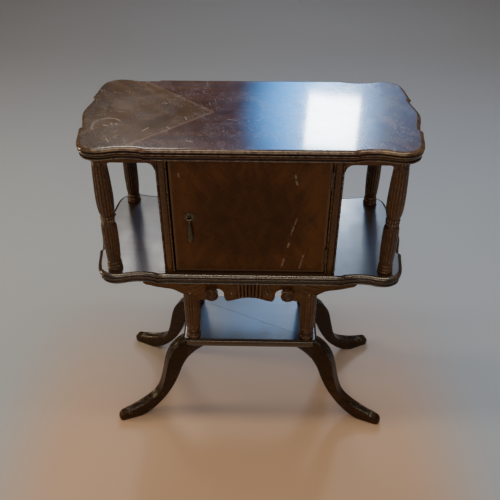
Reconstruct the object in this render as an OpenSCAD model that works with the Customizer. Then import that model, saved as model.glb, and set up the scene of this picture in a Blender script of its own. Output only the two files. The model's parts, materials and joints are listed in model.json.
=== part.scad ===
// Small sewing table: a moulded top over a cupboard and four reeded columns, a moulded shelf,
// a low tray on four more columns, and four sabre legs.
// X runs along the long side, -Y is the door side, +Z is up, and the feet stand on Z = 0.

/* [Overall] */
// Height of the top surface above the floor
table_h = 735; // [715:1:755]
// Height of the shelf surface above the floor
shelf_h = 459; // [450:1:468]
// Height of the tray surface above the floor
tray_h = 212; // [206:1:218]

/* [Moulded boards] */
// Half of the greatest length of the top and the shelf
board_half_x = 312; // [310:1:315]
// Half of the depth across the straight front of the top and the shelf
board_half_y = 144; // [143:0.5:146]
// Thickness of the top and the shelf
board_t = 24; // [23:1:26]
// Half length of the straight middle stretch of the front edge
front_half_x = 185; // [180:1:190]
// How far the edge steps back beyond the straight stretch
front_step = 3; // [2:0.5:4]

/* [Tray] */
// Thickness of the tray
tray_t = 20; // [18:1:21]

/* [Cupboard] */
// Half width of the cupboard over its stiles
cupboard_half_x = 165; // [160:1:170]
// Distance of the stile faces from the middle of the table
cupboard_half_y = 131; // [129:1:132]
// Width of a corner stile
stile_w = 20; // [18:1:22]
// Depth of a corner stile
stile_d = 16; // [15:1:18]
// Thickness of the side and back panels
panel_t = 8; // [6:1:9]
// Thickness of the door with its veneer
door_t = 16; // [15:0.5:17]
// Gap between the door and the stile on the handle side
door_gap_handle = 3; // [2.5:0.5:4]
// Gap between the door and the stile on the hinge side
door_gap_hinge = 1.6; // [1.4:0.1:2]
// Gap above and below the door
door_gap_z = 2.5; // [2:0.5:3]
// How far the door face stands back from the stile faces
door_recess = 2; // [1.5:0.5:3]

/* [Columns] */
// Distance of a gallery column from the middle along X
gallery_x = 264; // [260:1:266]
// Distance of a gallery column from the middle along Y
gallery_y = 118; // [116:1:119]
// Distance of a pedestal column from the middle along X
pedestal_x = 127; // [125:1:129]
// Distance of a pedestal column from the middle along Y
pedestal_y = 56; // [54:1:57]
// Radius of the round tenon at each end of a column
tenon_r = 7; // [6:0.5:8]
// Length of each tenon
tenon_l = 10; // [8:1:11]

/* [Legs] */
// Angle between a leg's plane and the long side of the table
leg_angle = 23; // [22:0.5:24]
// Thickness of a leg at the knee
leg_t = 25; // [23:1:27]
// Thickness of a leg at the toe
toe_t = 19; // [17:1:21]
// Distance of a toe tip from the middle along X
toe_x = 308; // [306:1:310]
// Distance of a toe tip from the middle along Y
toe_y = 133; // [132:0.5:134]
// Distance from a toe tip to the tray, along the leg
leg_t_tray = 175; // [173:0.5:177]

/* [Hardware] */
// Height of the upper hinge's middle below the top of the door
hinge_inset = 38; // [34:1:44]
// Length of a hinge leaf
hinge_l = 38; // [36:1:40]
// Height of the pull's rosette above the floor
pull_z = 588; // [580:1:600]
// Distance of the pull from the middle of the door
pull_x = 110; // [105:1:115]

/* [Hidden] */
$fn = 48;
fit = 0.05; // radial clearance of a glued round joint

top_under = table_h - board_t;
shelf_under = shelf_h - board_t;
tray_under = tray_h - tray_t;
gallery_h = top_under - shelf_h;

// The door, measured between the stiles
door_x0 = -(cupboard_half_x - stile_w) + door_gap_handle;
door_x1 = cupboard_half_x - stile_w - door_gap_hinge;
door_z0 = shelf_h + door_gap_z;
door_z1 = top_under - door_gap_z;
door_y0 = -cupboard_half_y + door_recess;
door_y1 = door_y0 + door_t;
veneer_t = 1;
door_mid_x = (door_x0 + door_x1) / 2;
door_mid_z = (door_z0 + door_z1) / 2;

// The hinge line stands in the hinge-side gap, just proud of the door face
hinge_x = cupboard_half_x - stile_w - door_gap_hinge / 2;
hinge_y = door_y0 - 1.5;
knuckle_r = 2.5;
pin_r = 1.2;
leaf_t = 1.2;
leaf_w = 12;
hinge_zs = [door_z1 - hinge_inset, door_z0 + hinge_inset];
hinge_holes = [-12, 0, 12];

// The drop hangs from a cross pin in front of the rosette
drop_axis_y = door_y0 - 7;
drop_axis_z = pull_z - 2;
catch_z = door_mid_z;
catch_y = (door_y0 + door_y1) / 2 + 0.5;
ball_r = 2.5;
ball_x = door_x0 + 1.5;

// Frieze under the shelf
frieze_y = 128;
frieze_t = 10;
frieze_half_x = 212;
volute_x = 76;
volute_z = 404;
volute_r = 14;
volute_proud = 13;

// Leg, in its own plane: T runs from the toe tip towards the table
leg_t_end = 262;

wood = [0.24, 0.12, 0.07];
wood_red = [0.33, 0.15, 0.08];
wood_orange = [0.55, 0.28, 0.10];
brass = [0.55, 0.45, 0.28];

// ---- Curves ----

// Points along a cubic Bezier curve, without its last point
function bezier(a, b, c, d, n) = [
    for (i = [0 : n - 1])
        let (t = i / n, s = 1 - t)
            s * s * s * a + 3 * s * s * t * b + 3 * s * t * t * c + t * t * t * d
];
function reversed(p) = [for (i = [len(p) - 1 : -1 : 0]) p[i]];
function unit(v) = v / norm(v);
// Outward normal of the edge from a to b of an anticlockwise outline
function edge_normal(a, b) = let (d = unit(b - a)) [d[1], -d[0]];
// The outline moved inwards by d, corner by corner
function inset(p, d) = [
    for (i = [0 : len(p) - 1])
        let (m = edge_normal(p[(i + len(p) - 1) % len(p)], p[i]),
             n = edge_normal(p[i], p[(i + 1) % len(p)]))
            p[i] - d * (m + n) / (1 + m * n)
];

// ---- Moulded boards ----

// Quarter of the outline, from the end of the straight front round to the middle of the side
y_back = board_half_y - front_step;
quarter = concat(
    [[front_half_x, -board_half_y]],
    bezier([front_half_x + 1, -y_back], [203, 3 - y_back], [221, 4 - y_back], [239, -1 - y_back], 6),
    bezier([239, -1 - y_back], [251, -5.5 - y_back], [272, -9.5 - y_back], [289, 5.5 - y_back], 7),
    bezier([289, 5.5 - y_back], [303, 18 - y_back], [301, 48 - y_back], [306, 77 - y_back], 6),
    [[306, 77 - y_back]],
    bezier([302, 81 - y_back], [303, -40], [board_half_x, -18], [board_half_x, 0], 6)
);
board_outline = concat(
    quarter,
    [[board_half_x, 0]],
    [for (p = reversed(quarter)) [p[0], -p[1]]],
    [for (p = quarter) [-p[0], -p[1]]],
    [[-board_half_x, 0]],
    [for (p = reversed(quarter)) [-p[0], p[1]]]
);
// Edge moulding from the underside up: [height of the layer, inset of the layer]
edge_layers = [[4, 2.5], [6, 4.5], [5, 1], [2, 3.5], [board_t - 19.5, 0], [2.5, 3]];

function layer_base(layers, i) = i == 0 ? 0 : layer_base(layers, i - 1) + layers[i - 1][0];

module layered_board(outline, layers) {
    for (i = [0 : len(layers) - 1])
        translate([0, 0, layer_base(layers, i)])
            linear_extrude(layers[i][0])
                polygon(inset(outline, layers[i][1]));
}

module four_corners(x, y) {
    for (sx = [-1, 1])
        for (sy = [-1, 1])
            translate([sx * x, sy * y, 0])
                children();
}

module socket(z0, z1) {
    translate([0, 0, z0])
        cylinder(r = tenon_r + fit, h = z1 - z0);
}

module top_board() {
    color(wood)
        difference() {
            translate([0, 0, top_under])
                layered_board(board_outline, edge_layers);
            four_corners(gallery_x, gallery_y)
                socket(top_under - 1, top_under + tenon_l + 0.5);
        }
}

module shelf_board() {
    color(wood)
        difference() {
            translate([0, 0, shelf_under])
                layered_board(board_outline, edge_layers);
            four_corners(gallery_x, gallery_y)
                socket(shelf_h - tenon_l - 0.5, shelf_h + 1);
            four_corners(pedestal_x, pedestal_y)
                socket(shelf_under - 1, shelf_under + tenon_l + 0.5);
        }
}

// ---- Legs and tray ----

// Outline of a leg in its plane: over the foot and up the knee, then under the tray and back
leg_outline = concat(
    bezier([10, 0], [-3.5, 1], [-3.2, 15], [9, 21.5], 6),
    bezier([9, 21.5], [22, 25.5], [40, 28], [57.5, 36], 4),
    bezier([57.5, 36], [77.5, 45], [93.5, 52], [103.5, 68], 5),
    bezier([103.5, 68], [113.5, 86], [118.5, 116], [126.5, 150], 6),
    bezier([126.5, 150], [133.5, 180], [147.5, 203], [leg_t_tray, tray_h], 7),
    [[leg_t_tray, tray_h], [leg_t_tray, tray_under]],
    bezier([leg_t_end, tray_under], [242, 188], [216, 180], [196.5, 171], 5),
    bezier([196.5, 171], [179.5, 162], [167.5, 148], [158.5, 127], 5),
    bezier([158.5, 127], [150.5, 104], [137.5, 72], [115.5, 47], 6),
    bezier([115.5, 47], [101.5, 31], [79.5, 8], [52.5, 0], 6),
    [[52.5, 0]]
);
toe_round = 9;
knee_t = 100;

// A leg in its plane, tapering in plan towards a rounded toe
module leg_blank() {
    intersection() {
        translate([0, leg_t / 2, 0])
            rotate([90, 0, 0])
                linear_extrude(leg_t)
                    polygon(leg_outline);
        translate([0, 0, -1])
            linear_extrude(tray_h + 2) {
                polygon([
                    [toe_round, -toe_t / 2], [knee_t, -leg_t / 2], [leg_t_end, -leg_t / 2],
                    [leg_t_end, leg_t / 2], [knee_t, leg_t / 2], [toe_round, toe_t / 2]
                ]);
                translate([0, toe_round - toe_t / 2])
                    square([leg_t_end, toe_t - 2 * toe_round]);
                for (s = [-1, 1])
                    translate([toe_round, s * (toe_t / 2 - toe_round)])
                        circle(r = toe_round);
            }
    }
}

// Moves a shape from a leg's plane to one corner of the table
module at_leg(sx, sy) {
    scale_x = sx > 0 ? 0 : 1;
    scale_y = sy > 0 ? 0 : 1;
    mirror([scale_x, 0, 0])
        mirror([0, scale_y, 0])
            translate([toe_x, toe_y, 0])
                rotate([0, 0, 180 + leg_angle])
                    children();
}

dowel_r = 3;
dowel_in_leg = 12;
dowel_in_tray = 9;
dowel_drop = 9;

// Dowels that tie a leg's end face to the tray's corner
module dowel(r, extra) {
    for (y = [-6.5, 6.5])
        translate([leg_t_tray - dowel_in_leg - extra, y, tray_h - dowel_drop])
            rotate([0, 90, 0])
                cylinder(r = r, h = dowel_in_leg + dowel_in_tray + 2 * extra);
}

module leg(sx, sy) {
    color(wood_red)
        at_leg(sx, sy)
            difference() {
                leg_blank();
                dowel(dowel_r + fit, 0.5);
            }
}

// Corner of the tray where a leg's end face meets it
function leg_point(t, s) = [
    toe_x - t * cos(leg_angle) + s * leg_t / 2 * sin(leg_angle),
    toe_y - t * sin(leg_angle) - s * leg_t / 2 * cos(leg_angle)
];
corner_side = leg_point(leg_t_tray, 1);
corner_front = leg_point(leg_t_tray, -1);
tray_corner = [corner_side, corner_front];
tray_outline = concat(
    tray_corner,
    [for (p = reversed(tray_corner)) [-p[0], p[1]]],
    [for (p = tray_corner) [-p[0], -p[1]]],
    [for (p = reversed(tray_corner)) [p[0], -p[1]]]
);

module tray_board() {
    color(wood)
        difference() {
            translate([0, 0, tray_under])
                linear_extrude(tray_t)
                    polygon(tray_outline);
            four_corners(pedestal_x, pedestal_y)
                socket(tray_h - tenon_l - 0.5, tray_h + 1);
            for (sx = [-1, 1])
                for (sy = [-1, 1])
                    at_leg(sx, sy)
                        dowel(dowel_r + fit, 0.5);
        }
}

module leg_dowels() {
    color(wood_orange)
        for (sx = [-1, 1])
            for (sy = [-1, 1])
                at_leg(sx, sy)
                    dowel(dowel_r, 0);
}

// ---- Columns ----

// Half profiles as [radius, share of the height]; a curve swells between the rings
module turned(profile, h, z0) {
    translate([0, 0, z0])
        rotate_extrude()
            polygon(concat([[0, 0]], [for (p = profile) [p[0], p[1] * h]], [[0, h]]));
    translate([0, 0, z0 - tenon_l])
        cylinder(r = tenon_r, h = tenon_l + 1);
    translate([0, 0, z0 + h - 1])
        cylinder(r = tenon_r, h = tenon_l + 1);
}

// Shaft radius from r0 to r1 with a swelling of b, as profile points
function shaft(z0, z1, r0, r1, b, n) = [
    for (i = [0 : n])
        let (t = i / n)
            [r0 + (r1 - r0) * t + 4 * b * t * (1 - t), z0 + (z1 - z0) * t]
];

gallery_profile = concat(
    [[14.5, 0], [15, 0.012], [14.5, 0.03], [12.8, 0.036], [14.2, 0.046], [14.2, 0.06], [12.2, 0.072]],
    shaft(0.085, 0.428, 12.8, 14.2, 1.3, 6),
    [[13, 0.438], [11.2, 0.448], [12.6, 0.462], [12.8, 0.482], [11.4, 0.496]],
    bezier([12.6, 0.512], [17.5, 0.56], [17.2, 0.68], [13.3, 0.94], 8),
    [[13.3, 0.94], [12.4, 0.95], [13.8, 0.96], [13.8, 0.985], [13.4, 1]]
);

pedestal_profile = concat(
    [[15, 0], [15.8, 0.015], [15.8, 0.035], [14.6, 0.05], [12.8, 0.06], [12.8, 0.075], [14.6, 0.085]],
    [[14.6, 0.105], [13.4, 0.115], [15.4, 0.135], [16, 0.155], [15, 0.17]],
    shaft(0.18, 0.93, 16.2, 15.4, 1.3, 8),
    [[14.4, 0.94], [16.6, 0.955], [16.6, 1]]
);

module gallery_column(sx, sy) {
    color(wood_red)
        translate([sx * gallery_x, sy * gallery_y, 0])
            turned(gallery_profile, gallery_h, shelf_h);
}

module pedestal_column(sx, sy) {
    color(wood_red)
        translate([sx * pedestal_x, sy * pedestal_y, 0])
            turned(pedestal_profile, shelf_under - tray_h, tray_h);
}

// ---- Gallery rails ----

rail_h = 8.5;
rail_t = 10;
rail_y = cupboard_half_y - rail_t;
round_stile = 14;
round_col = 8;
col_clear = 14.2;

// A shallow rail that sweeps down in quarter rounds, r0 and r1, at its ends;
// the second round stops short of the end by the length hidden in the column
module rail_blank(l, r0, r1, hidden) {
    rotate([90, 0, 0])
        linear_extrude(rail_t)
            difference() {
                translate([0, -rail_h - r0])
                    square([l, rail_h + r0]);
                hull() {
                    translate([r0 + 1, -rail_h - r0])
                        circle(r = r0);
                    translate([l - hidden - r1 - 1, -rail_h - r1])
                        circle(r = r1);
                    translate([1, -rail_h - 2 * r0])
                        square([l - hidden - 2, 1]);
                }
                if (hidden > 0)
                    translate([l - hidden - 1, -rail_h - 2 * r0])
                        square([hidden + 2, 2 * r0 - r1]);
            }
}

rail_x0 = cupboard_half_x;
rail_x1 = gallery_x - 9;
rail_hidden = rail_x1 - gallery_x + col_clear;

// The front and back rails stop against the flank of the column
module gallery_rail(sx, sy) {
    color(wood_red)
        mirror([sx > 0 ? 0 : 1, 0, 0])
            mirror([0, sy > 0 ? 0 : 1, 0])
                difference() {
                    translate([rail_x0, rail_y + rail_t, top_under])
                        rail_blank(rail_x1 - rail_x0, round_stile, round_col, rail_hidden);
                    translate([gallery_x, gallery_y, top_under - 60])
                        cylinder(r = col_clear + 0.2, h = 70);
                }
}

module gallery_rail_end(sx) {
    color(wood_red)
        mirror([sx > 0 ? 0 : 1, 0, 0])
            translate([gallery_x + rail_t / 2, -(gallery_y - col_clear - 0.2), top_under])
                rotate([0, 0, 90])
                    translate([0, rail_t, 0])
                        rail_blank(2 * (gallery_y - col_clear - 0.2), round_col, round_col, 0);
}

// ---- Cupboard ----

stile_in = cupboard_half_x - stile_w;
mortise_gap = 0.1;

module stile_blank(sx, sy) {
    x0 = sx > 0 ? stile_in : -cupboard_half_x;
    y0 = sy > 0 ? cupboard_half_y - stile_d : -cupboard_half_y;
    translate([x0, y0, shelf_h])
        cube([stile_w, stile_d, gallery_h]);
}

module stile_front_left() {
    color(wood_red)
        difference() {
            stile_blank(-1, -1);
            translate([-stile_in - strike_t - mortise_gap, catch_y - 5 - mortise_gap, catch_z - 12])
                cube([5, 10 + 2 * mortise_gap, 24]);
            translate([-stile_in - 5, catch_y, catch_z])
                rotate([0, 90, 0])
                    cylinder(r = 3, h = 6);
        }
}

module stile_front_right() {
    color(wood_red)
        difference() {
            stile_blank(1, -1);
            for (z = hinge_zs)
                hinge_cut(z);
        }
}

module stile_back_left() {
    color(wood_red)
        stile_blank(-1, 1);
}

module stile_back_right() {
    color(wood_red)
        stile_blank(1, 1);
}

panel_x = cupboard_half_x - 5 - panel_t;
panel_y = cupboard_half_y - stile_d;

module side_panel(sx) {
    x0 = sx > 0 ? panel_x : -panel_x - panel_t;
    color(wood)
        translate([x0, -panel_y, shelf_h])
            cube([panel_t, 2 * panel_y, gallery_h]);
}

module back_panel() {
    color(wood)
        translate([-stile_in, cupboard_half_y - 3 - panel_t, shelf_h])
            cube([2 * stile_in, panel_t, gallery_h]);
}

module door_stop() {
    color(wood_red)
        translate([-120, door_y1 + 0.5, top_under - 10])
            cube([240, 8, 10]);
}

block = 18;
block_y = 60;

// Square glue blocks in the angles between the sides and the boards
module block_places() {
    for (sx = [-1, 1])
        for (sy = [-1, 1])
            for (up = [0, 1])
                translate([sx * (panel_x - block / 2), sy * block_y, up == 1 ? top_under : shelf_h])
                    mirror([0, 0, up])
                        children();
}

screw_r = 1.8;
screw_head_r = 3.5;

module glue_blocks() {
    color(wood_orange)
        block_places()
            difference() {
                translate([-block / 2, -20, 0])
                    cube([block, 40, block]);
                translate([0, 0, -1])
                    cylinder(r = screw_r + 0.1, h = block + 2);
                translate([0, 0, block - 3.5])
                    cylinder(r = screw_head_r + 0.2, h = 4);
            }
}

module block_screws() {
    color(brass)
        block_places()
            translate([0, 0, -12]) {
                cylinder(r = screw_r, h = block + 9);
                translate([0, 0, block + 8.5])
                    difference() {
                        cylinder(r = screw_head_r, h = 2.5);
                        translate([-4, -0.4, 1.7])
                            cube([8, 0.8, 1]);
                    }
            }
}

// ---- Door ----

post_r = 1.6;
barrel_r = 4;
barrel_l = 16;

module door_core() {
    color(wood_orange)
        difference() {
            translate([door_x0, door_y0 + veneer_t, door_z0])
                cube([door_x1 - door_x0, door_t - veneer_t, door_z1 - door_z0]);
            for (z = hinge_zs)
                hinge_cut(z);
            translate([-pull_x, door_y0 - 1, pull_z])
                rotate([-90, 0, 0])
                    cylinder(r = post_r + fit, h = door_t + 2);
            translate([door_x0 - 1, catch_y, catch_z])
                rotate([0, 90, 0])
                    cylinder(r = barrel_r + fit, h = barrel_l + 1.2);
        }
}

diamond_w = 118;
diamond_h = 112;

module diamond(w, h) {
    polygon([[-w, 0], [0, -h], [w, 0], [0, h]]);
}

module on_door_face() {
    translate([door_mid_x, door_y0 + veneer_t, door_mid_z])
        rotate([90, 0, 0])
            children();
}

module door_cuts() {
    for (z = hinge_zs)
        hinge_cut(z);
    translate([-pull_x, door_y0 - 1, pull_z])
        rotate([-90, 0, 0])
            cylinder(r = post_r + fit, h = door_t + 2);
}

// Four corner leaves of matched veneer round the diamond
module door_veneer_corners() {
    color(wood_orange)
        difference() {
            on_door_face()
                linear_extrude(veneer_t)
                    difference() {
                        square([door_x1 - door_x0, door_z1 - door_z0], center = true);
                        diamond(diamond_w, diamond_h);
                        translate([-200, -0.05])
                            square([400, 0.1]);
                        translate([-0.05, -200])
                            square([0.1, 400]);
                    }
            door_cuts();
        }
}

module door_veneer_diamond() {
    color(wood)
        difference() {
            on_door_face()
                linear_extrude(veneer_t)
                    diamond(diamond_w, diamond_h);
            door_cuts();
        }
}

// ---- Hinges ----

knuckle_gap = 0.3;
knuckle_third = hinge_l / 3;
leaf_y = knuckle_r + 0.3;
pin_head = 1;

// Room for the knuckles, the pin's heads and both leaves in the stile and in the door
module hinge_cut(z) {
    translate([hinge_x, hinge_y, z - hinge_l / 2 - pin_head - 0.4])
        cylinder(r = knuckle_r + 0.4, h = hinge_l + 2 * pin_head + 0.8);
    translate([door_x1 - leaf_t - mortise_gap, hinge_y, z - hinge_l / 2 - mortise_gap])
        cube([
            door_gap_hinge + 2 * (leaf_t + mortise_gap),
            leaf_w + mortise_gap,
            hinge_l + 2 * mortise_gap
        ]);
}

// A leaf with its knuckles: side is 1 on the stile and -1 on the door
module leaf(z, side) {
    bore = side > 0 ? pin_r + 0.01 : pin_r + 0.06;
    face_x = side > 0 ? stile_in + leaf_t : door_x1 - leaf_t;
    zs = side > 0 ? [-1, 1] : [0];
    translate([0, 0, z])
        difference() {
            union() {
                translate([side > 0 ? stile_in : door_x1 - leaf_t, hinge_y + leaf_y, -hinge_l / 2])
                    cube([leaf_t, leaf_w - leaf_y, hinge_l]);
                for (k = zs) {
                    translate([hinge_x, hinge_y, (k - 0.5) * knuckle_third + knuckle_gap / 2])
                        cylinder(r = knuckle_r, h = knuckle_third - knuckle_gap);
                    translate([min(face_x, hinge_x), hinge_y, (k - 0.5) * knuckle_third + knuckle_gap / 2])
                        cube([abs(face_x - hinge_x), leaf_y + 0.2, knuckle_third - knuckle_gap]);
                }
            }
            translate([hinge_x, hinge_y, -hinge_l])
                cylinder(r = bore, h = 2 * hinge_l);
            for (h = hinge_holes)
                translate([side > 0 ? stile_in : door_x1, hinge_y + 8, h])
                    rotate([0, side * 90, 0])
                        hinge_screw(0.1);
        }
}

// Countersunk screw whose head is flush at Z = 0; grow opens it out into its hole
module hinge_screw(grow) {
    translate([0, 0, -grow])
        cylinder(r = 1.2 + grow, h = 12);
    translate([0, 0, -grow])
        cylinder(r1 = 2.2 + grow, r2 = 1.2 + grow, h = 1);
}

module hinge_pin(z) {
    color(brass)
        translate([hinge_x, hinge_y, z - hinge_l / 2 - pin_head]) {
            cylinder(r = pin_r, h = hinge_l + 2 * pin_head);
            for (e = [0, hinge_l + pin_head])
                translate([0, 0, e])
                    cylinder(r = 1.9, h = pin_head);
        }
}

module hinge_screws(side) {
    color(brass)
        for (z = hinge_zs)
            for (h = hinge_holes)
                translate([side > 0 ? stile_in : door_x1, hinge_y + 8, z + h])
                    rotate([0, side * 90, 0])
                        hinge_screw(0);
}

// ---- Pull ----

module pull_rosette() {
    color(brass)
        translate([-pull_x, door_y0, pull_z])
            rotate([90, 0, 0])
                rotate_extrude()
                    polygon([
                        [post_r, 0], [10.5, 0], [10.5, 0.8], [9, 1.6],
                        [6.5, 1.4], [5, 2.4], [post_r, 2.8]
                    ]);
}

fork_w = 7;
eye_w = 2.6;
cross_pin_r = 0.9;

module pull_post() {
    color(brass)
        difference() {
            union() {
                translate([-pull_x, door_y1 + 3, pull_z])
                    rotate([90, 0, 0])
                        cylinder(r = post_r, h = door_y1 + 3 - drop_axis_y - 2.2);
                translate([-pull_x, door_y1 + 2.4, pull_z])
                    rotate([90, 0, 0])
                        cylinder(r = 4.5, h = 2.4);
                translate([-pull_x - fork_w / 2, drop_axis_y, drop_axis_z - 2.2])
                    cube([fork_w, 3.9, 5]);
                translate([-pull_x - fork_w / 2, drop_axis_y, drop_axis_z])
                    rotate([0, 90, 0])
                        cylinder(r = 2.2, h = fork_w);
            }
            translate([-pull_x - eye_w / 2 - 0.2, drop_axis_y - 5, drop_axis_z - 6])
                cube([eye_w + 0.4, 8.2, 12]);
            translate([-pull_x - fork_w, drop_axis_y, drop_axis_z])
                rotate([0, 90, 0])
                    cylinder(r = cross_pin_r, h = 2 * fork_w);
        }
}

module pull_pin() {
    color(brass)
        translate([-pull_x - fork_w / 2 - 0.4, drop_axis_y, drop_axis_z])
            rotate([0, 90, 0])
                cylinder(r = cross_pin_r, h = fork_w + 0.8);
}

// Teardrop with an eye at its top, hanging from the cross pin
drop_profile = [
    [0, 0], [1.2, 0], [2.4, -1.6], [1.8, -3.4], [2.2, -5], [3.4, -14], [5.2, -28],
    [6, -36], [5.7, -41], [4.4, -45.5], [2.4, -48], [0, -48.6]
];

module pull_drop() {
    color(brass)
        translate([-pull_x, drop_axis_y, drop_axis_z])
            difference() {
                union() {
                    translate([0, 0, -2.4])
                        rotate_extrude()
                            polygon(drop_profile);
                    translate([-eye_w / 2, 0, 0])
                        rotate([0, 90, 0])
                            cylinder(r = 2.1, h = eye_w);
                    translate([-eye_w / 2, -1.1, -4])
                        cube([eye_w, 2.2, 4]);
                }
                translate([-5, 0, 0])
                    rotate([0, 90, 0])
                        cylinder(r = cross_pin_r + 0.06, h = 10);
            }
}

// ---- Bullet catch ----

strike_t = 1;
spring_x0 = ball_x + ball_r + 0.1;
spring_x1 = door_x0 + barrel_l - 1.1;

module catch_barrel() {
    color(brass)
        translate([door_x0, catch_y, catch_z])
            rotate([0, 90, 0])
                difference() {
                    cylinder(r = barrel_r, h = barrel_l);
                    translate([0, 0, -1])
                        cylinder(r = 2.25, h = 5);
                    translate([0, 0, 0.4])
                        cylinder(r = ball_r + 0.05, h = barrel_l - 1.4);
                }
}

module catch_ball() {
    color(brass)
        translate([ball_x, catch_y, catch_z])
            sphere(r = ball_r);
}

spring_r = 1.9;
spring_wire = 0.3;
spring_turns = 6;
spring_steps = 14;
spring_sides = 6;

// Ring k of the spring's wire, across the helix
function spring_ring(k) = let (a = 360 * k / spring_steps,
    pitch = (spring_x1 - spring_x0 - 2 * spring_wire) / (spring_turns * spring_steps),
    x = spring_x0 + spring_wire + pitch * k) [
    for (j = [0 : spring_sides - 1])
        let (b = 360 * j / spring_sides, r = spring_r + spring_wire * cos(b))
            [x + spring_wire * sin(b), catch_y + r * cos(a), catch_z + r * sin(a)]
];

module catch_spring() {
    rings = spring_turns * spring_steps;
    points = [for (k = [0 : rings]) each spring_ring(k)];
    sides = [
        for (k = [0 : rings - 1])
            for (j = [0 : spring_sides - 1])
                let (a = k * spring_sides, n = (j + 1) % spring_sides)
                    [a + j, a + n, a + spring_sides + n, a + spring_sides + j]
    ];
    first = [for (j = [spring_sides - 1 : -1 : 0]) j];
    last = [for (j = [0 : spring_sides - 1]) rings * spring_sides + j];
    color("silver")
        polyhedron(points, concat(sides, [first], [last]));
}

module catch_strike() {
    color(brass)
        difference() {
            translate([-stile_in - strike_t, catch_y - 5, catch_z - 11.9])
                cube([strike_t, 10, 23.8]);
            translate([-stile_in - 5, catch_y, catch_z])
                rotate([0, 90, 0])
                    cylinder(r = 2, h = 10);
        }
}

// ---- Frieze ----

// Lower edge of the frieze from the middle to its end, as [X, Z]
frieze_half = concat(
    bezier([0, 390], [18, 390], [30, 382.5], [44, 379.7], 6),
    bezier([44, 379.7], [50, 380], [51.5, 390], [51.5, 400], 4),
    bezier([51.5, 400], [52, 407], [60, 414], [69, 412], 5),
    bezier([69, 412], [71, 402], [75, 391], [84, 385], 4),
    bezier([84, 385], [88, 381], [94, 380.5], [99, 382], 3),
    bezier([99, 382], [112, 388], [122, 395], [134, 398.5], 5),
    bezier([134, 398.5], [142, 402], [146, 409], [160, 411.5], 4),
    bezier([160, 411.5], [178, 413.5], [190, 417], [198, 419.5], 4),
    [[198, 419.5], [207, 421.5], [frieze_half_x, 426]]
);

module frieze(sy) {
    color(wood_red)
        mirror([0, sy > 0 ? 0 : 1, 0])
            translate([0, frieze_y, 0])
                rotate([90, 0, 0])
                    linear_extrude(frieze_t)
                        polygon(concat(
                            frieze_half,
                            [[frieze_half_x, shelf_under], [-frieze_half_x, shelf_under]],
                            [for (p = reversed(frieze_half)) if (p[0] > 0) [-p[0], p[1]]]
                        ));
}

frieze_end_z = 426;

module frieze_end(sx) {
    l = 2 * (frieze_y - frieze_t);
    color(wood_red)
        translate([sx > 0 ? frieze_half_x - frieze_t : -frieze_half_x, -l / 2, frieze_end_z])
            cube([frieze_t, l, shelf_under - frieze_end_z]);
}

// Applied fan with upright reeds, in the middle of the frieze
fan_w = 25;
fan_proud = 5;
fan_pitch = 7;
fan_reed_r = 2.9;

module fan_carving(sy) {
    color(wood_orange)
        mirror([0, sy > 0 ? 0 : 1, 0])
            intersection() {
                translate([0, frieze_y + 20, 0])
                    rotate([90, 0, 0])
                        linear_extrude(20)
                            polygon([
                                [-fan_w, shelf_under], [-fan_w, 390], [0, 392],
                                [fan_w, 390], [fan_w, shelf_under]
                            ]);
                union() {
                    translate([-50, frieze_y, 380])
                        cube([100, fan_proud - 2, 60]);
                    for (i = [-3 : 3])
                        translate([i * fan_pitch, frieze_y + fan_proud - fan_reed_r, 380])
                            cylinder(r = fan_reed_r, h = 60);
                }
            }
}

// Rolled scroll ends that stand out from the frieze
module volutes(sy) {
    color(wood_red)
        mirror([0, sy > 0 ? 0 : 1, 0])
            for (s = [-1, 1])
                translate([s * volute_x, frieze_y, volute_z])
                    rotate([-90, 0, 0])
                        rotate_extrude()
                            polygon(concat(
                                [[0, 0], [volute_r, 0], [volute_r, volute_proud - 3]],
                                [for (a = [20 : 20 : 60])
                                    [volute_r - 2.5 + 2.5 * cos(a), volute_proud - 3 + 2.5 * sin(a)]],
                                [[6, volute_proud], [0, volute_proud]]
                            ));
}

top_board();
shelf_board();
tray_board();
stile_front_left();
stile_front_right();
stile_back_left();
stile_back_right();
side_panel(-1);  // side_panel_left
side_panel(1);  // side_panel_right
back_panel();
door_stop();
glue_blocks();
block_screws();
door_core();
door_veneer_corners();
door_veneer_diamond();
color(brass) leaf(hinge_zs[0], 1);  // hinge_upper_frame_leaf
color(brass) leaf(hinge_zs[0], -1);  // hinge_upper_door_leaf
hinge_pin(hinge_zs[0]);  // hinge_upper_pin
color(brass) leaf(hinge_zs[1], 1);  // hinge_lower_frame_leaf
color(brass) leaf(hinge_zs[1], -1);  // hinge_lower_door_leaf
hinge_pin(hinge_zs[1]);  // hinge_lower_pin
hinge_screws(1);  // hinge_screws_frame
hinge_screws(-1);  // hinge_screws_door
pull_rosette();
pull_post();
pull_pin();
pull_drop();
catch_barrel();
catch_spring();
catch_ball();
catch_strike();
gallery_column(-1, -1);  // gallery_column_front_left
gallery_column(1, -1);  // gallery_column_front_right
gallery_column(-1, 1);  // gallery_column_back_left
gallery_column(1, 1);  // gallery_column_back_right
gallery_rail(-1, -1);  // gallery_rail_front_left
gallery_rail(1, -1);  // gallery_rail_front_right
gallery_rail(-1, 1);  // gallery_rail_back_left
gallery_rail(1, 1);  // gallery_rail_back_right
gallery_rail_end(-1);  // gallery_rail_end_left
gallery_rail_end(1);  // gallery_rail_end_right
pedestal_column(-1, -1);  // pedestal_column_front_left
pedestal_column(1, -1);  // pedestal_column_front_right
pedestal_column(-1, 1);  // pedestal_column_back_left
pedestal_column(1, 1);  // pedestal_column_back_right
frieze(-1);  // frieze_front
frieze(1);  // frieze_back
frieze_end(-1);  // frieze_end_left
frieze_end(1);  // frieze_end_right
fan_carving(-1);  // fan_carving_front
fan_carving(1);  // fan_carving_back
volutes(-1);  // volutes_front
volutes(1);  // volutes_back
leg(-1, -1);  // leg_front_left
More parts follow.
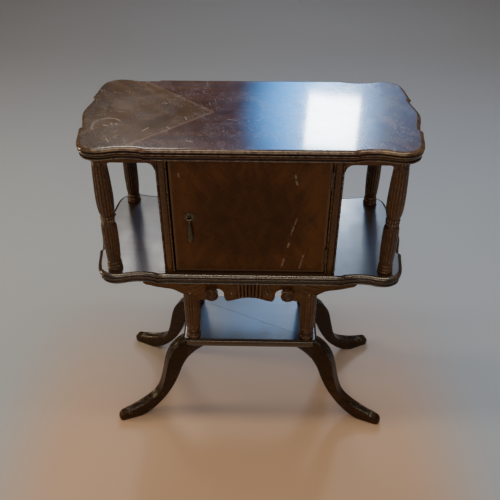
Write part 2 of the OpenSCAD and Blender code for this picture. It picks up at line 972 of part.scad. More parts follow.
leg(1, -1);  // leg_front_right
leg(-1, 1);  // leg_back_left
leg(1, 1);  // leg_back_right
leg_dowels();
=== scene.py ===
import json
from math import cos, dist, exp, pi, radians, sin, sqrt

import bmesh
import bpy
from mathutils import Euler, Matrix, Vector


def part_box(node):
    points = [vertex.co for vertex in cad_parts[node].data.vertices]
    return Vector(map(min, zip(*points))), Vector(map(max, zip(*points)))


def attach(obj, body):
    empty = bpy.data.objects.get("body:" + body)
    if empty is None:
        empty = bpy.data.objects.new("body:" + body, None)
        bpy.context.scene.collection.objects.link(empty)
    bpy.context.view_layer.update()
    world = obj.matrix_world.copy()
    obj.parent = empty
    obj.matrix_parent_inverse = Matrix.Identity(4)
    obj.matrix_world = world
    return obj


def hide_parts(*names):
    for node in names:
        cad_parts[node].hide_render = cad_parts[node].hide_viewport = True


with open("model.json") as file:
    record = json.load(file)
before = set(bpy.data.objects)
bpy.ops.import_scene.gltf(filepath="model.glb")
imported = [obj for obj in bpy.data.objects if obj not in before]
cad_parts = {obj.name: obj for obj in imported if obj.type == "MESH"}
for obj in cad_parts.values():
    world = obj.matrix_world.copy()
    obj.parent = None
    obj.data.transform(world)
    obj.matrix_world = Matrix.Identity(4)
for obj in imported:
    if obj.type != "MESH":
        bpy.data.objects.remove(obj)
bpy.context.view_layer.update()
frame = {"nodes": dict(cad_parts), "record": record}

MM = 0.001

# Camera fitted to the photo: metres, degrees and millimetres of lens
EYE = (0.0177, -1.1086, 1.2837)
TILT, YAW, ROLL = 51.83, 0.99, 0.14
LENS, SENSOR = 47.28, 36
LAMP_TARGET = Vector((0, 0, 0.5))

SIDES = (("left", -1), ("right", 1))
ENDS = (("front", -1), ("back", 1))
CORNERS = [(f"{end}_{side}", sx, sy) for end, sy in ENDS for side, sx in SIDES]


def add_object(name, data):
    """A new object in the scene"""
    ob = bpy.data.objects.new(name, data)
    bpy.context.scene.collection.objects.link(ob)
    return ob


# ---- Camera and lights ----

def make_camera():
    data = bpy.data.cameras.new("camera")
    data.sensor_width = SENSOR
    data.lens = LENS
    cam = add_object("camera", data)
    turn = Euler((radians(TILT), 0, radians(YAW))).to_matrix()
    roll = Matrix.Rotation(radians(ROLL), 3, "Z")
    cam.matrix_world = Matrix.Translation(EYE) @ (turn @ roll).to_4x4()
    bpy.context.scene.camera = cam


def fade_to_rim(data, centre_strength=2.2, flat_part=0.12, rim=0.5):
    """Light strength full in the middle of the panel and nothing at its rim"""
    data.use_nodes = True
    tree = data.node_tree
    place = tree.nodes.new("ShaderNodeNewGeometry").outputs["Parametric"]
    reach = tree.nodes.new("ShaderNodeVectorMath")
    reach.operation = "DISTANCE"
    reach.inputs[1].default_value = (0.5, 0.5, 0)
    tree.links.new(place, reach.inputs[0])
    fade = tree.nodes.new("ShaderNodeMapRange")
    fade.interpolation_type = "SMOOTHSTEP"
    for socket, value in zip(list(fade.inputs)[1:5], (flat_part, rim, centre_strength, 0.0)):
        socket.default_value = value
    tree.links.new(reach.outputs["Value"], fade.inputs[0])
    tree.links.new(fade.outputs[0], tree.nodes["Emission"].inputs["Strength"])


def panel_light(name, centre, size, radiance, colour, soft=False):
    """Flat lamp facing the table; a soft one fades towards its rim, like open sky round a window"""
    data = bpy.data.lights.new(name, "AREA")
    data.shape = "RECTANGLE"
    data.size, data.size_y = size
    data.energy = radiance * pi * size[0] * size[1]
    data.color = colour
    if soft:
        fade_to_rim(data)
    ob = add_object(name, data)
    ob.location = centre
    ob.rotation_euler = (LAMP_TARGET - Vector(centre)).to_track_quat("-Z", "Y").to_euler()


def make_world():
    """Dim walls and a brighter ceiling"""
    world = bpy.data.worlds.new("studio")
    world.use_nodes = True
    tree = world.node_tree
    way = tree.nodes.new("ShaderNodeTexCoord").outputs["Generated"]
    parts = tree.nodes.new("ShaderNodeSeparateXYZ")
    tree.links.new(way, parts.inputs[0])
    ramp = tree.nodes.new("ShaderNodeValToRGB")
    stops = ((0.55, (0.075, 0.068, 0.060, 1)), (0.88, (0.50, 0.45, 0.40, 1)))
    for element, (place, colour) in zip(ramp.color_ramp.elements, stops):
        element.position = place
        element.color = colour
    tree.links.new(parts.outputs["Z"], ramp.inputs[0])
    tree.links.new(ramp.outputs[0], tree.nodes["Background"].inputs["Color"])
    bpy.context.scene.world = world


def make_lights():
    """Window and sky behind the table, where its boards mirror them, and warm room lamps in front"""
    panel_light("window", (0.51, 3.0, 2.295), (0.35, 0.36), 55, (0.93, 0.98, 0.97))
    panel_light("sky", (0.38, 3.06, 2.28), (1.1, 1.4), 5.0, (0.01, 0.36, 1.0), soft=True)
    panel_light("sky_right", (0.92, 3.08, 2.25), (0.9, 1.2), 0.5, (0.18, 0.45, 1.0), soft=True)
    panel_light("bay_left", (-0.93, 3.05, 3.30), (1.0, 1.25), 8.0, (1.0, 0.97, 0.92), soft=True)
    panel_light("bay_right", (0.82, 3.10, 3.25), (0.9, 1.1), 0.3, (0.85, 0.93, 1.0), soft=True)
    panel_light("tray_sky", (0.0, 3.25, 3.6), (0.8, 1.1), 4.5, (0.06, 0.40, 1.0), soft=True)
    panel_light("overhead", (0.0, -0.25, 3.0), (2.4, 0.22), 13, (1.0, 0.86, 0.62))
    panel_light("front_strip", (0.0, -2.7, 2.7), (2.2, 0.25), 9, (1.0, 0.86, 0.64))
    panel_light("front_fill", (-0.5, -3.2, 1.7), (2.4, 1.6), 0.70, (1.0, 0.84, 0.68))
    panel_light("right_fill", (3.2, -0.6, 1.6), (1.4, 1.4), 0.25, (0.92, 0.95, 1.0))
    panel_light("left_lamp", (-2.8, 0.1, 1.25), (0.50, 0.60), 30, (1.0, 0.76, 0.42))
    make_world()


# ---- Shader nodes ----

class Shader:
    """A material's node tree, with one method for each kind of node used below."""

    def __init__(self, name):
        self.material = bpy.data.materials.new(name)
        self.material.use_nodes = True
        self.tree = self.material.node_tree
        self.tree.nodes.clear()
        self.bsdf = self.node("ShaderNodeBsdfPrincipled")
        out = self.node("ShaderNodeOutputMaterial")
        self.link(self.bsdf.outputs["BSDF"], out.inputs["Surface"])
        self.coords = self.node("ShaderNodeTexCoord").outputs["Object"]

    def node(self, kind, **props):
        made = self.tree.nodes.new(kind)
        for key, value in props.items():
            setattr(made, key, value)
        return made

    def link(self, a, b):
        self.tree.links.new(a, b)

    def feed(self, socket, value):
        if isinstance(value, bpy.types.NodeSocket):
            self.link(value, socket)
        else:
            socket.default_value = value

    def math(self, op, a, b=0.0, c=0.0):
        n = self.node("ShaderNodeMath", operation=op)
        for socket, value in zip(n.inputs, (a, b, c)):
            self.feed(socket, value)
        return n.outputs[0]

    def times(self, a, b):
        return self.math("MULTIPLY", a, b)

    def plus(self, a, b):
        return self.math("ADD", a, b)

    def minus(self, a, b):
        return self.math("SUBTRACT", a, b)

    def vmath(self, op, a, b=(0, 0, 0)):
        n = self.node("ShaderNodeVectorMath", operation=op)
        self.feed(n.inputs[0], a)
        self.feed(n.inputs["Scale" if op == "SCALE" else 1], b)
        return n.outputs["Value" if op in ("LENGTH", "DOT_PRODUCT", "DISTANCE") else "Vector"]

    def split(self, vector):
        n = self.node("ShaderNodeSeparateXYZ")
        self.feed(n.inputs[0], vector)
        return n.outputs

    def join(self, x, y, z):
        n = self.node("ShaderNodeCombineXYZ")
        for socket, value in zip(n.inputs, (x, y, z)):
            self.feed(socket, value)
        return n.outputs[0]

    def noise(self, vector, scale, detail=3.0, rough=0.55, warp=0.0):
        n = self.node("ShaderNodeTexNoise")
        values = (vector, scale, detail, rough, warp)
        for key, value in zip(("Vector", "Scale", "Detail", "Roughness", "Distortion"), values):
            self.feed(n.inputs[key], value)
        return n.outputs[0]

    def span(self, value, a, b, lo=0.0, hi=1.0, smooth=False):
        """value moved from the range a..b to lo..hi, and held inside it"""
        n = self.node("ShaderNodeMapRange")
        n.interpolation_type = "SMOOTHSTEP" if smooth else "LINEAR"
        n.clamp = True
        for socket, v in zip(n.inputs, (value, a, b, lo, hi)):
            self.feed(socket, v)
        return n.outputs[0]

    def mix(self, factor, a, b):
        n = self.node("ShaderNodeMix", data_type="RGBA")
        self.feed(n.inputs["Factor"], factor)
        for key, value in (("A", a), ("B", b)):
            socket = next(s for s in n.inputs if s.name == key and s.type == "RGBA")
            self.feed(socket, value if isinstance(value, bpy.types.NodeSocket) else (*value[:3], 1))
        return next(s for s in n.outputs if s.type == "RGBA")

    def tint(self, colour, where, amount, other):
        """colour taken towards the other where the mask is 1, by the amount"""
        return self.mix(self.times(where, amount), colour, other)

    def ramp(self, factor, stops):
        n = self.node("ShaderNodeValToRGB")
        self.feed(n.inputs[0], factor)
        elements = n.color_ramp.elements
        while len(elements) < len(stops):
            elements.new(0.5)
        for element, (place, colour) in zip(elements, stops):
            element.position = place
            element.color = (*colour, 1)
        return n.outputs[0]

    def attribute(self, name):
        return self.node("ShaderNodeAttribute", attribute_name=name).outputs["Fac"]

    def stretched(self, axis, ratio=0.05):
        """Object coordinates squeezed along one axis, so that noise runs along it as grain"""
        scale = [1.0, 1.0, 1.0]
        scale["XYZ".index(axis)] = ratio
        return self.vmath("MULTIPLY", self.coords, tuple(scale))

    def near_segment(self, a, b, width, flat):
        """1 on the line from a to b, falling to 0 at its width, all in mm; flat is the plane's mask"""
        a, b, width = Vector(a) * MM, Vector(b) * MM, width * MM
        p = self.vmath("MULTIPLY", self.vmath("SUBTRACT", self.coords, tuple(a)), flat)
        ab = b - a
        along = self.math("DIVIDE", self.vmath("DOT_PRODUCT", p, tuple(ab)), ab.length_squared)
        along = self.math("MINIMUM", self.math("MAXIMUM", along, 0.0), 1.0)
        foot = self.vmath("SCALE", tuple(ab), along)
        return self.span(self.vmath("DISTANCE", p, foot), width, width * 0.35, smooth=True)

    def coat(self, weight, rough):
        self.bsdf.inputs["Coat Weight"].default_value = weight
        self.bsdf.inputs["Coat Roughness"].default_value = rough

    def finish(self, colour, rough, height, bump, depth, specular=0.5):
        self.feed(self.bsdf.inputs["Base Color"], colour)
        self.feed(self.bsdf.inputs["Roughness"], rough)
        self.bsdf.inputs["Specular IOR Level"].default_value = specular
        n = self.node("ShaderNodeBump")
        n.inputs["Strength"].default_value = bump
        n.inputs["Distance"].default_value = depth
        self.feed(n.inputs["Height"], height)
        self.link(n.outputs[0], self.bsdf.inputs["Normal"])
        return self.material


def grain(s, axis, scale):
    """Streaks and fine pores along one axis, and the tone that they make with a slow drift"""
    along = s.stretched(axis)
    streaks = s.noise(along, 95 * scale, 5, 0.6, 0.25)
    fine = s.noise(along, 620 * scale, 2, 0.5)
    drift = s.noise(s.coords, 7.0, 3, 0.5)
    tone = s.plus(s.times(streaks, 0.55), s.times(fine, 0.22))
    tone = s.plus(tone, s.times(drift, 0.38))
    return tone, streaks, fine


def scratches(s, seed, size, keep):
    """Fine straight strokes in three directions, kept only in patches"""
    total = 0.0
    for k, angle in enumerate((0.35, 1.25, 2.40)):
        c, d = cos(angle + seed), sin(angle + seed)
        along = s.times(s.vmath("DOT_PRODUCT", s.coords, (c, d * 0.6, d)), 60 / size)
        across = s.times(s.vmath("DOT_PRODUCT", s.coords, (-d, c * 0.6, c)), 760 / size)
        field = s.noise(s.join(along, across, seed + 3.1 * k), 1.0, 0.0, 0.5)
        total = s.plus(s.span(field, 0.73, 0.80), total)
    patches = s.span(s.noise(s.vmath("ADD", s.coords, (seed, 0.0, 0.0)), 7 / size, 3), keep, keep + 0.12)
    return s.times(s.math("MINIMUM", total, 1.0), patches)


def wood(name, stops, axis, gloss, coat=0.25, worn_and_highlight_colour=(0.42, 0.27, 0.16), scale=1.0, worn_gain=0.6,
         specular=0.3, edge_gloss=False):
    """Polished wood with grain, hollows darkened by grime and painted shade, high spots lightened by rubbing
    and painted highlight, and scratches; mouldings may shine more
    """
    s = Shader(name)
    wear_and_highlight, grime_and_shade = s.attribute("wear_and_highlight"), s.attribute("grime_and_shade")
    tone, streaks, fine = grain(s, axis, scale)
    colour = s.ramp(s.span(tone, 0.40, 0.78), stops)
    pores = s.span(fine, 0.60, 0.74)
    colour = s.tint(colour, pores, 0.45, tuple(c * 0.4 for c in stops[0][1]))
    # Hollows darkened: grime and painted shade
    colour = s.tint(colour, grime_and_shade, 0.85, (0.012, 0.006, 0.004))
    # High spots lightened towards the pale colour: rubbing and painted highlight
    rub_and_highlight = s.span(s.plus(s.noise(s.coords, 230, 4, 0.65), s.times(wear_and_highlight, 0.10)), 0.56, 0.68)
    rub_and_highlight = s.times(s.times(wear_and_highlight, rub_and_highlight), worn_gain)
    colour = s.mix(rub_and_highlight, colour, worn_and_highlight_colour)
    lines = scratches(s, 3.1, 1.0, 0.50)
    colour = s.tint(colour, lines, 0.12, worn_and_highlight_colour)
    rough = s.span(s.noise(s.coords, 26, 4, 0.6), 0.3, 0.7, *gloss)
    rough = s.plus(rough, s.times(s.plus(rub_and_highlight, grime_and_shade), 0.10))
    if edge_gloss:
        moulded = s.span(s.plus(wear_and_highlight, grime_and_shade), 0.0, 0.15)
        rough = s.times(rough, s.math("MULTIPLY_ADD", moulded, -0.45, 1.0))
    height = s.minus(s.times(streaks, 0.6), s.times(pores, 0.5))
    height = s.minus(height, s.times(lines, 0.3))
    s.coat(coat, 0.16)
    return s.finish(colour, rough, height, 0.12, 0.0004, specular)


FLAT, UPRIGHT = (1, 1, 0), (1, 0, 1)

# Short marks on the top: both ends in millimetres, and their width
TOP_NICKS = (
    ((-262, -56), (-256, -58), 2.2), ((-250, -48), (-247, -54), 2.2), ((-242, -50), (-239, -53), 2.6),
    ((-190, -76), (-181, -64), 1.6), ((-249, -104), (-243, -116), 1.6), ((-110, -109), (-99, -114), 2),
    ((-42, -29), (-24, -33), 1.2), ((-148, -62), (-143, -66), 1.8), ((-168, 36), (-158, 34), 1.2),
    ((-120, -20), (-116, -32), 1.2),
)
# Old drips on the door in X and Z and, marked True, scratches broken along their length
DOOR_NICKS = (
    ((80, 679), (81, 674), 2.4, False), ((82, 667), (84, 661), 2.6, False),
    ((87, 588), (76, 549), 2.1, True), ((74, 530), (72, 522), 2.4, False), ((66, 493), (61, 472), 2.3, True),
    ((103, 505), (96, 470), 2.3, True), ((-125, 681), (-124, 674), 1.6, False),
)


def top_marks(s, lines):
    """Scratches, a rubbed patch, the ring of a glass with a few specks inside, and nicks"""
    patch = s.span(s.noise(s.vmath("MULTIPLY", s.coords, (0.5, 1.2, 1)), 150, 4, 0.7), 0.60, 0.68)
    scuff = s.times(patch, s.near_segment((-50, 65, 0), (20, 30, 0), 34, FLAT))
    ring_at = s.vmath("MULTIPLY", s.vmath("SUBTRACT", s.coords, (-0.256, -0.057, 0)), (1, 0.95, 0))
    ring = s.span(s.math("ABSOLUTE", s.minus(s.vmath("LENGTH", ring_at), 0.0265)), 0.0022, 0.0006)
    side = s.vmath("DOT_PRODUCT", ring_at, (-0.55, 0.83, 0))
    ring = s.times(ring, s.span(side, -0.004, 0.008))
    ring = s.times(ring, s.span(s.noise(s.coords, 160, 3), 0.30, 0.52))
    marks = s.plus(s.times(lines, 0.6), s.plus(s.times(scuff, 0.6), ring))
    for a, b, width in TOP_NICKS:
        marks = s.plus(marks, s.near_segment((*a, 0), (*b, 0), width, FLAT))
    return marks


TOP_MIDDLE = ((0.36, (0.028, 0.009, 0.007)), (0.50, (0.060, 0.021, 0.015)), (0.66, (0.105, 0.042, 0.028)))
TOP_ENDS = ((0.36, (0.030, 0.013, 0.004)), (0.50, (0.064, 0.029, 0.010)), (0.66, (0.115, 0.056, 0.021)))


def top_veneer(name):
    """The top: reddish middle, browner quartered ends, V-shaped inlay bands, scuffs and marks"""
    s = Shader(name)
    x, y, z = s.split(s.coords)
    ax, ay = s.math("ABSOLUTE", x), s.math("ABSOLUTE", y)
    # Distance from the inlay's line, positive towards the ends
    across = s.minus(ax, s.math("MULTIPLY_ADD", ay, 1.07, 0.071))
    across = s.times(across, 0.683)
    end = s.span(across, -0.0004, 0.0004)
    quartered = s.join(s.minus(ax, s.times(ay, 0.9)), s.plus(s.times(ax, 0.9), ay), z)
    end_grain = s.noise(s.vmath("MULTIPLY", quartered, (1.0, 0.07, 1.0)), 70, 5, 0.62, 0.3)
    mid_grain = s.noise(s.stretched("X", 0.05), 80, 5, 0.62, 0.3)
    fine = s.noise(s.stretched("X", 0.06), 560, 2, 0.5)
    cloud = s.noise(s.coords, 9.0, 4, 0.6, 0.4)
    mid = s.ramp(s.plus(s.times(mid_grain, 0.6), s.times(cloud, 0.4)), TOP_MIDDLE)
    ends = s.ramp(s.plus(s.times(end_grain, 0.55), s.times(cloud, 0.45)), TOP_ENDS)
    colour = s.mix(end, mid, ends)
    # Inlay band: a pale stripe between two dark strings
    d = s.math("ABSOLUTE", across)
    top = s.span(z, 0.7335, 0.7348)
    stripe = s.times(s.span(d, 0.0036, 0.0030), top)
    string = s.times(s.span(d, 0.0046, 0.0042), s.times(s.span(d, 0.0030, 0.0034), top))
    core = s.span(d, 0.0009, 0.0005)
    pale = s.mix(s.noise(s.coords, 240, 3), (0.15, 0.085, 0.055), (0.30, 0.19, 0.13))
    colour = s.tint(colour, stripe, 0.5, pale)
    colour = s.tint(colour, string, 0.7, (0.022, 0.009, 0.007))
    colour = s.tint(colour, core, 0.5, (0.05, 0.02, 0.014))
    pores = s.span(fine, 0.60, 0.72)
    colour = s.tint(colour, pores, 0.35, (0.015, 0.007, 0.005))
    # Greyish bloom, scuffs and fine scratches, on the flat only
    bloom = s.times(s.span(s.noise(s.coords, 12, 5, 0.7, 0.5), 0.44, 0.72), top)
    colour = s.tint(colour, bloom, 0.10, (0.24, 0.21, 0.19))
    lines = s.plus(scratches(s, 1.7, 1.0, 0.46), scratches(s, 6.3, 0.5, 0.50))
    marks = s.math("MINIMUM", s.times(top_marks(s, lines), top), 1.0)
    colour = s.tint(colour, marks, 0.55, (0.42, 0.34, 0.28))
    dent = s.near_segment((96, -106, 0), (108, -114, 0), 4.2, FLAT)
    colour = s.tint(colour, dent, 0.7, (0.02, 0.012, 0.01))
    # Moulded edge: high spots lightened by rubbing and painted highlight, grooves darkened by grime and
    # painted shade
    rub_and_highlight = s.times(s.attribute("wear_and_highlight"), s.span(s.noise(s.coords, 120, 4, 0.6), 0.40, 0.62))
    colour = s.tint(colour, rub_and_highlight, 0.42, (0.42, 0.29, 0.15))
    grime_and_shade = s.attribute("grime_and_shade")
    colour = s.tint(colour, grime_and_shade, 0.9, (0.006, 0.004, 0.003))
    rough = s.span(s.noise(s.coords, 30, 5, 0.65), 0.3, 0.7, 0.16, 0.27)
    rough = s.plus(rough, s.times(s.plus(marks, bloom), 0.12))
    height = s.plus(s.times(mid_grain, 0.35), s.times(pores, -0.4))
    height = s.minus(height, s.plus(s.times(lines, 0.9), dent))
    height = s.minus(height, s.times(s.plus(stripe, string), 0.12))
    s.coat(1.0, 0.07)
    return s.finish(colour, rough, height, 0.10, 0.0004, 0.18)


def door_veneer(name, dark, mid, light, middle, diamond):
    """Matched flame veneer: each quarter of the door mirrors its neighbour's figure"""
    s = Shader(name)
    p = s.vmath("SUBTRACT", s.coords, middle)
    x, y, z = s.split(p)
    ax, az = s.math("ABSOLUTE", x), s.math("ABSOLUTE", z)
    folded = s.join(ax, y, az)
    sway = s.join(s.noise(folded, 14, 3), 0.0, s.noise(folded, 19, 3))
    bent = s.vmath("ADD", folded, s.vmath("SCALE", sway, 0.05))
    bx, _, bz = s.split(bent)
    slope = s.join(s.minus(bx, s.times(bz, 0.7)), y, s.times(s.plus(s.times(bx, 0.7), bz), 0.10))
    figure = s.noise(slope, 75, 6, 0.65, 0.8)
    flame = s.noise(s.vmath("MULTIPLY", bent, (1.0, 1.0, 0.35)), 26, 4, 0.6, 1.4)
    fine = s.noise(s.vmath("MULTIPLY", slope, (1.0, 1.0, 0.6)), 540, 2)
    tone = s.plus(s.times(figure, 0.45), s.times(flame, 0.55))
    reach = s.vmath("LENGTH", s.join(s.math("DIVIDE", ax, 0.143), 0.0, s.math("DIVIDE", az, 0.124)))
    if diamond:
        corner_tone_and_shade = s.span(reach, 0.2, 1.0, 0.0, 0.10)
    else:
        # Lighter figure towards the corners, darker along the top and bottom edges as painted shade, and a
        # little lighter towards the right
        corner_tone_and_shade = s.minus(s.span(reach, 0.55, 1.0, 0.0, 0.17), s.span(az, 0.095, 0.123, 0.0, 0.10))
        corner_tone_and_shade = s.plus(corner_tone_and_shade, s.span(x, 0.02, 0.13, 0.0, 0.05))
    colour = s.ramp(s.plus(tone, corner_tone_and_shade), [(0.38, dark), (0.55, mid), (0.76, light)])
    lozenge = s.plus(s.math("DIVIDE", ax, 0.118), s.math("DIVIDE", az, 0.112))
    band = s.span(s.math("ABSOLUTE", s.minus(lozenge, 1.0)), 0.020, 0.008)
    colour = s.tint(colour, band, 0.28, light)
    # Paler line along the door's edges: painted reflection
    rim = s.math("MAXIMUM", s.span(ax, 0.1382, 0.1392), s.span(az, 0.1190, 0.1200))
    colour = s.tint(colour, rim, 0.35, (0.20, 0.13, 0.08))
    pores = s.span(fine, 0.58, 0.72)
    colour = s.tint(colour, pores, 0.4, tuple(c * 0.35 for c in dark))
    broken = s.span(s.noise(s.coords, 190, 3, 0.6), 0.42, 0.56)
    marks = 0.0
    for a, b, width, is_broken in DOOR_NICKS:
        line = s.near_segment((a[0], 0, a[1]), (b[0], 0, b[1]), width, UPRIGHT)
        marks = s.plus(s.times(line, broken) if is_broken else line, marks)
    marks = s.math("MINIMUM", marks, 1.0)
    colour = s.tint(colour, marks, 0.5, (0.45, 0.34, 0.26))
    lines = scratches(s, 4.4, 0.7, 0.52)
    colour = s.tint(colour, lines, 0.3, light)
    rough = s.span(s.noise(s.coords, 34, 4, 0.6), 0.3, 0.7, 0.24, 0.40)
    rough = s.plus(rough, s.times(marks, 0.3))
    height = s.minus(s.times(figure, 0.5), s.times(pores, 0.5))
    height = s.plus(height, s.minus(s.times(marks, 0.7), s.times(band, 0.3)))
    s.coat(0.2, 0.2)
    return s.finish(colour, rough, height, 0.10, 0.0004, 0.25)


def metal(name, base, tarnish, gloss):
    """Metal with tarnish in patches, fine scratches and brighter rubbed spots"""
    s = Shader(name)
    cloud = s.span(s.noise(s.coords, 230, 5, 0.65, 0.4), 0.36, 0.64)
    speck = s.span(s.noise(s.coords, 900, 3, 0.7), 0.55, 0.70)
    colour = s.tint(base, cloud, 0.55, tarnish)
    colour = s.tint(colour, speck, 0.35, tuple(c * 0.35 for c in tarnish))
    colour = s.tint(colour, s.attribute("wear_and_highlight"), 0.6, tuple(min(1.0, c * 1.6) for c in base))
    colour = s.tint(colour, s.attribute("grime_and_shade"), 0.8, (0.03, 0.025, 0.015))
    brushed = s.noise(s.stretched("X", 0.15), 1500, 2)
    rough = s.span(s.plus(cloud, s.times(brushed, 0.3)), 0.0, 1.3, *gloss)
    s.bsdf.inputs["Metallic"].default_value = 1.0
    return s.finish(colour, rough, s.plus(s.times(speck, -0.6), brushed), 0.12, 0.0002)


def floor_material():
    """Grey floor with painted cool light on the right, the table's painted shadow as a warm patch in front
    of it, and darker far behind it
    """
    s = Shader("floor_paint")
    x, y, _ = s.split(s.coords)
    cloud = s.noise(s.coords, 2.2, 4, 0.5)
    aside = s.math("ABSOLUTE", s.plus(x, 0.03))
    # Painted shadow of the table: warm in front of it
    warm = s.times(s.span(y, 0.45, -0.25, smooth=True), s.span(aside, 0.62, 0.36, smooth=True))
    # Painted cool light towards the right
    colour = s.mix(s.span(x, -0.6, 0.6, smooth=True), (0.40, 0.42, 0.43), (0.40, 0.44, 0.49))
    colour = s.mix(warm, colour, (0.58, 0.38, 0.26))
    colour = s.mix(s.span(y, 0.3, 2.4, smooth=True), colour, (0.22, 0.205, 0.19))
    colour = s.mix(s.span(cloud, 0.3, 0.7, 0.0, 0.08), colour, (0.30, 0.28, 0.26))
    return s.finish(colour, 0.75, s.noise(s.coords, 160, 3), 0.05, 0.001, 0.12)


# ---- Meshes ----

def build_mesh(name, points, faces, sharp):
    """A mesh from rows of x, y, z in millimetres and of two masks from 0 to 1: lightening by rubbing and
    painted highlight, and darkening by grime and painted shade
    """
    me = bpy.data.meshes.new(name)
    me.from_pydata([[c * MM for c in p[:3]] for p in points], [], faces)
    for place, key in ((3, "wear_and_highlight"), (4, "grime_and_shade")):
        me.attributes.new(key, "FLOAT", "POINT").data.foreach_set("value", [p[place] for p in points])
    bm = bmesh.new()
    bm.from_mesh(me)
    bmesh.ops.recalc_face_normals(bm, faces=bm.faces)
    bm.to_mesh(me)
    bm.free()
    me.shade_smooth()
    if sharp:
        me.set_sharp_from_angle(angle=radians(sharp))
    return me


def add_piece(name, me, material, *nodes, slot="mahogany_carved", body="table"):
    """Put a mesh in the scene on its body, in place of the CAD nodes that it stands for"""
    ob = add_object(name, me)
    if not me.materials:
        me.materials.append(material)
    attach(ob, body)
    if nodes:
        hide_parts(*nodes)
    return ob


def add_mesh(name, points, faces, sharp, material, *nodes, **where):
    return add_piece(name, build_mesh(name, points, faces, sharp), material, *nodes, **where)


def loft_faces(count, n, start=0):
    """Faces of count closed rings of n points, with a cap at each end"""
    faces = []
    for i in range(count - 1):
        a, b = start + i * n, start + (i + 1) * n
        faces += [(a + j, a + (j + 1) % n, b + (j + 1) % n, b + j) for j in range(n)]
    return faces + [tuple(end + j for j in range(n)) for end in (start, start + (count - 1) * n)]


def bezier(a, b, c, d, n):
    """n points of a cubic curve, its last end left out"""
    out = []
    for i in range(n):
        t = i / n
        s = 1 - t
        out.append(tuple(s ** 3 * p + 3 * s * s * t * q + 3 * s * t * t * r + t ** 3 * w
                         for p, q, r, w in zip(a, b, c, d)))
    return out


def joined(knots, *counts):
    """Points of cubic curves that share their ends, and the last end"""
    out = []
    for i, n in enumerate(counts):
        out += bezier(*knots[3 * i:3 * i + 4], n)
    return out + [knots[-1]]


def inset(points, d):
    """The closed anticlockwise outline moved inwards by d"""
    n = len(points)
    out = []
    for i in range(n):
        p, before, after = Vector(points[i]), Vector(points[i - 1]), Vector(points[(i + 1) % n])
        u, v = (p - before).normalized(), (after - p).normalized()
        m, k = Vector((u.y, -u.x)), Vector((v.y, -v.x))
        q = p - d * (m + k) / max(0.3, 1 + m.dot(k))
        out.append((q.x, q.y))
    return out


def arc_sample(points, count):
    """count points spaced evenly along a polyline, both ends included"""
    steps = [0.0]
    for a, b in zip(points, points[1:]):
        steps.append(steps[-1] + dist(a, b))
    out, j = [], 0
    for i in range(count):
        want = steps[-1] * i / (count - 1)
        while j < len(points) - 2 and steps[j + 1] < want:
            j += 1
        t = (want - steps[j]) / max(1e-9, steps[j + 1] - steps[j])
        out.append(tuple(p + (q - p) * t for p, q in zip(points[j], points[j + 1])))
    return out


def mm_box(node):
    """Both corners of a CAD node's box in millimetres"""
    lo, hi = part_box(node)
    return lo / MM, hi / MM


# ---- Moulded boards ----

def board_outline(half_x):
    """Anticlockwise outline of the top and the shelf, finer than the solid's"""
    knots = ((186, -141), (203, -138), (221, -137), (239, -142), (251, -146.5), (272, -150.5),
             (289, -135.5), (303, -123), (301, -93), (306, -64))
    quarter = [(185.0, -144.0)] + joined(knots, 20, 24, 22)
    quarter += bezier((302, -60), (303, -40), (half_x, -18), (half_x, 0), 20)
    middle = [(x * 18.5, -144.0) for x in range(-9, 10)]
    right = quarter + [(half_x, 0)] + [(x, -v) for x, v in reversed(quarter)]
    left = [(-x, -v) for x, v in right]
    return right + [(-x, -v) for x, v in middle] + left + middle


# Edge moulding from the flat downwards: [inset, depth below the surface, lightening by rubbing and painted
# highlight, darkening by grime and painted shade]
EDGE = (
    (7.8, 0, 0, 0), (7, 0, 0.1, 0), (6, 0.15, 0.3, 0), (4.6, 0.6, 0.5, 0), (3.2, 1.3, 0.6, 0),
    (1.9, 2.2, 0.7, 0), (0.9, 3.2, 0.7, 0), (0.25, 4.3, 0.5, 0), (0, 5.2, 0.3, 0),
    (0.35, 5.9, 0.1, 0.3), (1.6, 6.4, 0, 0.8), (3.4, 6.8, 0, 1), (3.7, 8.2, 0, 1), (2.8, 8.9, 0, 0.6),
    (1.7, 9.2, 0.2, 0.1), (1.1, 9.9, 0.8, 0), (0.9, 10.8, 0.9, 0), (1.2, 11.7, 0.5, 0),
    (2, 12.3, 0.1, 0.5), (3.4, 12.6, 0, 1), (3.6, 13.6, 0, 0.9), (2.7, 14, 0.2, 0.2),
    (2.8, 14.8, 0.2, 0), (3.4, 16.2, 0.1, 0), (4.3, 17.6, 0, 0.1), (5, 18.9, 0, 0.4),
    (5.1, 19.8, 0, 0.9), (3.9, 20.1, 0.1, 0.4), (3, 20.6, 0.6, 0), (2.6, 21.4, 0.9, 0),
    (2.8, 22.4, 0.6, 0), (3.6, 23.3, 0.2, 0), (4.8, 23.8, 0, 0.1), (6, 24, 0, 0), (7.5, 24, 0, 0),
)


def make_board(name, node, material):
    """Board with a rounded lip and two beads below it; the box keeps it inside the solid"""
    lo, hi = mm_box(node)
    outline = board_outline(hi.x)
    points = []
    for depth_in, depth, wear_and_highlight, grime_and_shade in EDGE:
        ring = inset(outline, depth_in)
        points += [(x, max(lo.y, min(hi.y, y)), hi.z - depth, wear_and_highlight, grime_and_shade) for x, y in ring]
    faces = loft_faces(len(EDGE), len(outline))
    add_mesh(name, points, faces, 50, material, node, slot="mahogany_polished")


# ---- Turned and reeded columns ----

PLAIN, REEDED, LEAFY = 0, 1, 2
REED_END = 7.0


def ring_rows(z0, z1, base, out, n, power, kind, wear_and_highlight):
    """Rows of a ring whose radius rises from base to out and falls back"""
    return [(z0 + (z1 - z0) * i / n, base + (out - base) * sin(pi * i / n) ** power,
             kind, wear_and_highlight, 0) for i in range(n + 1)]


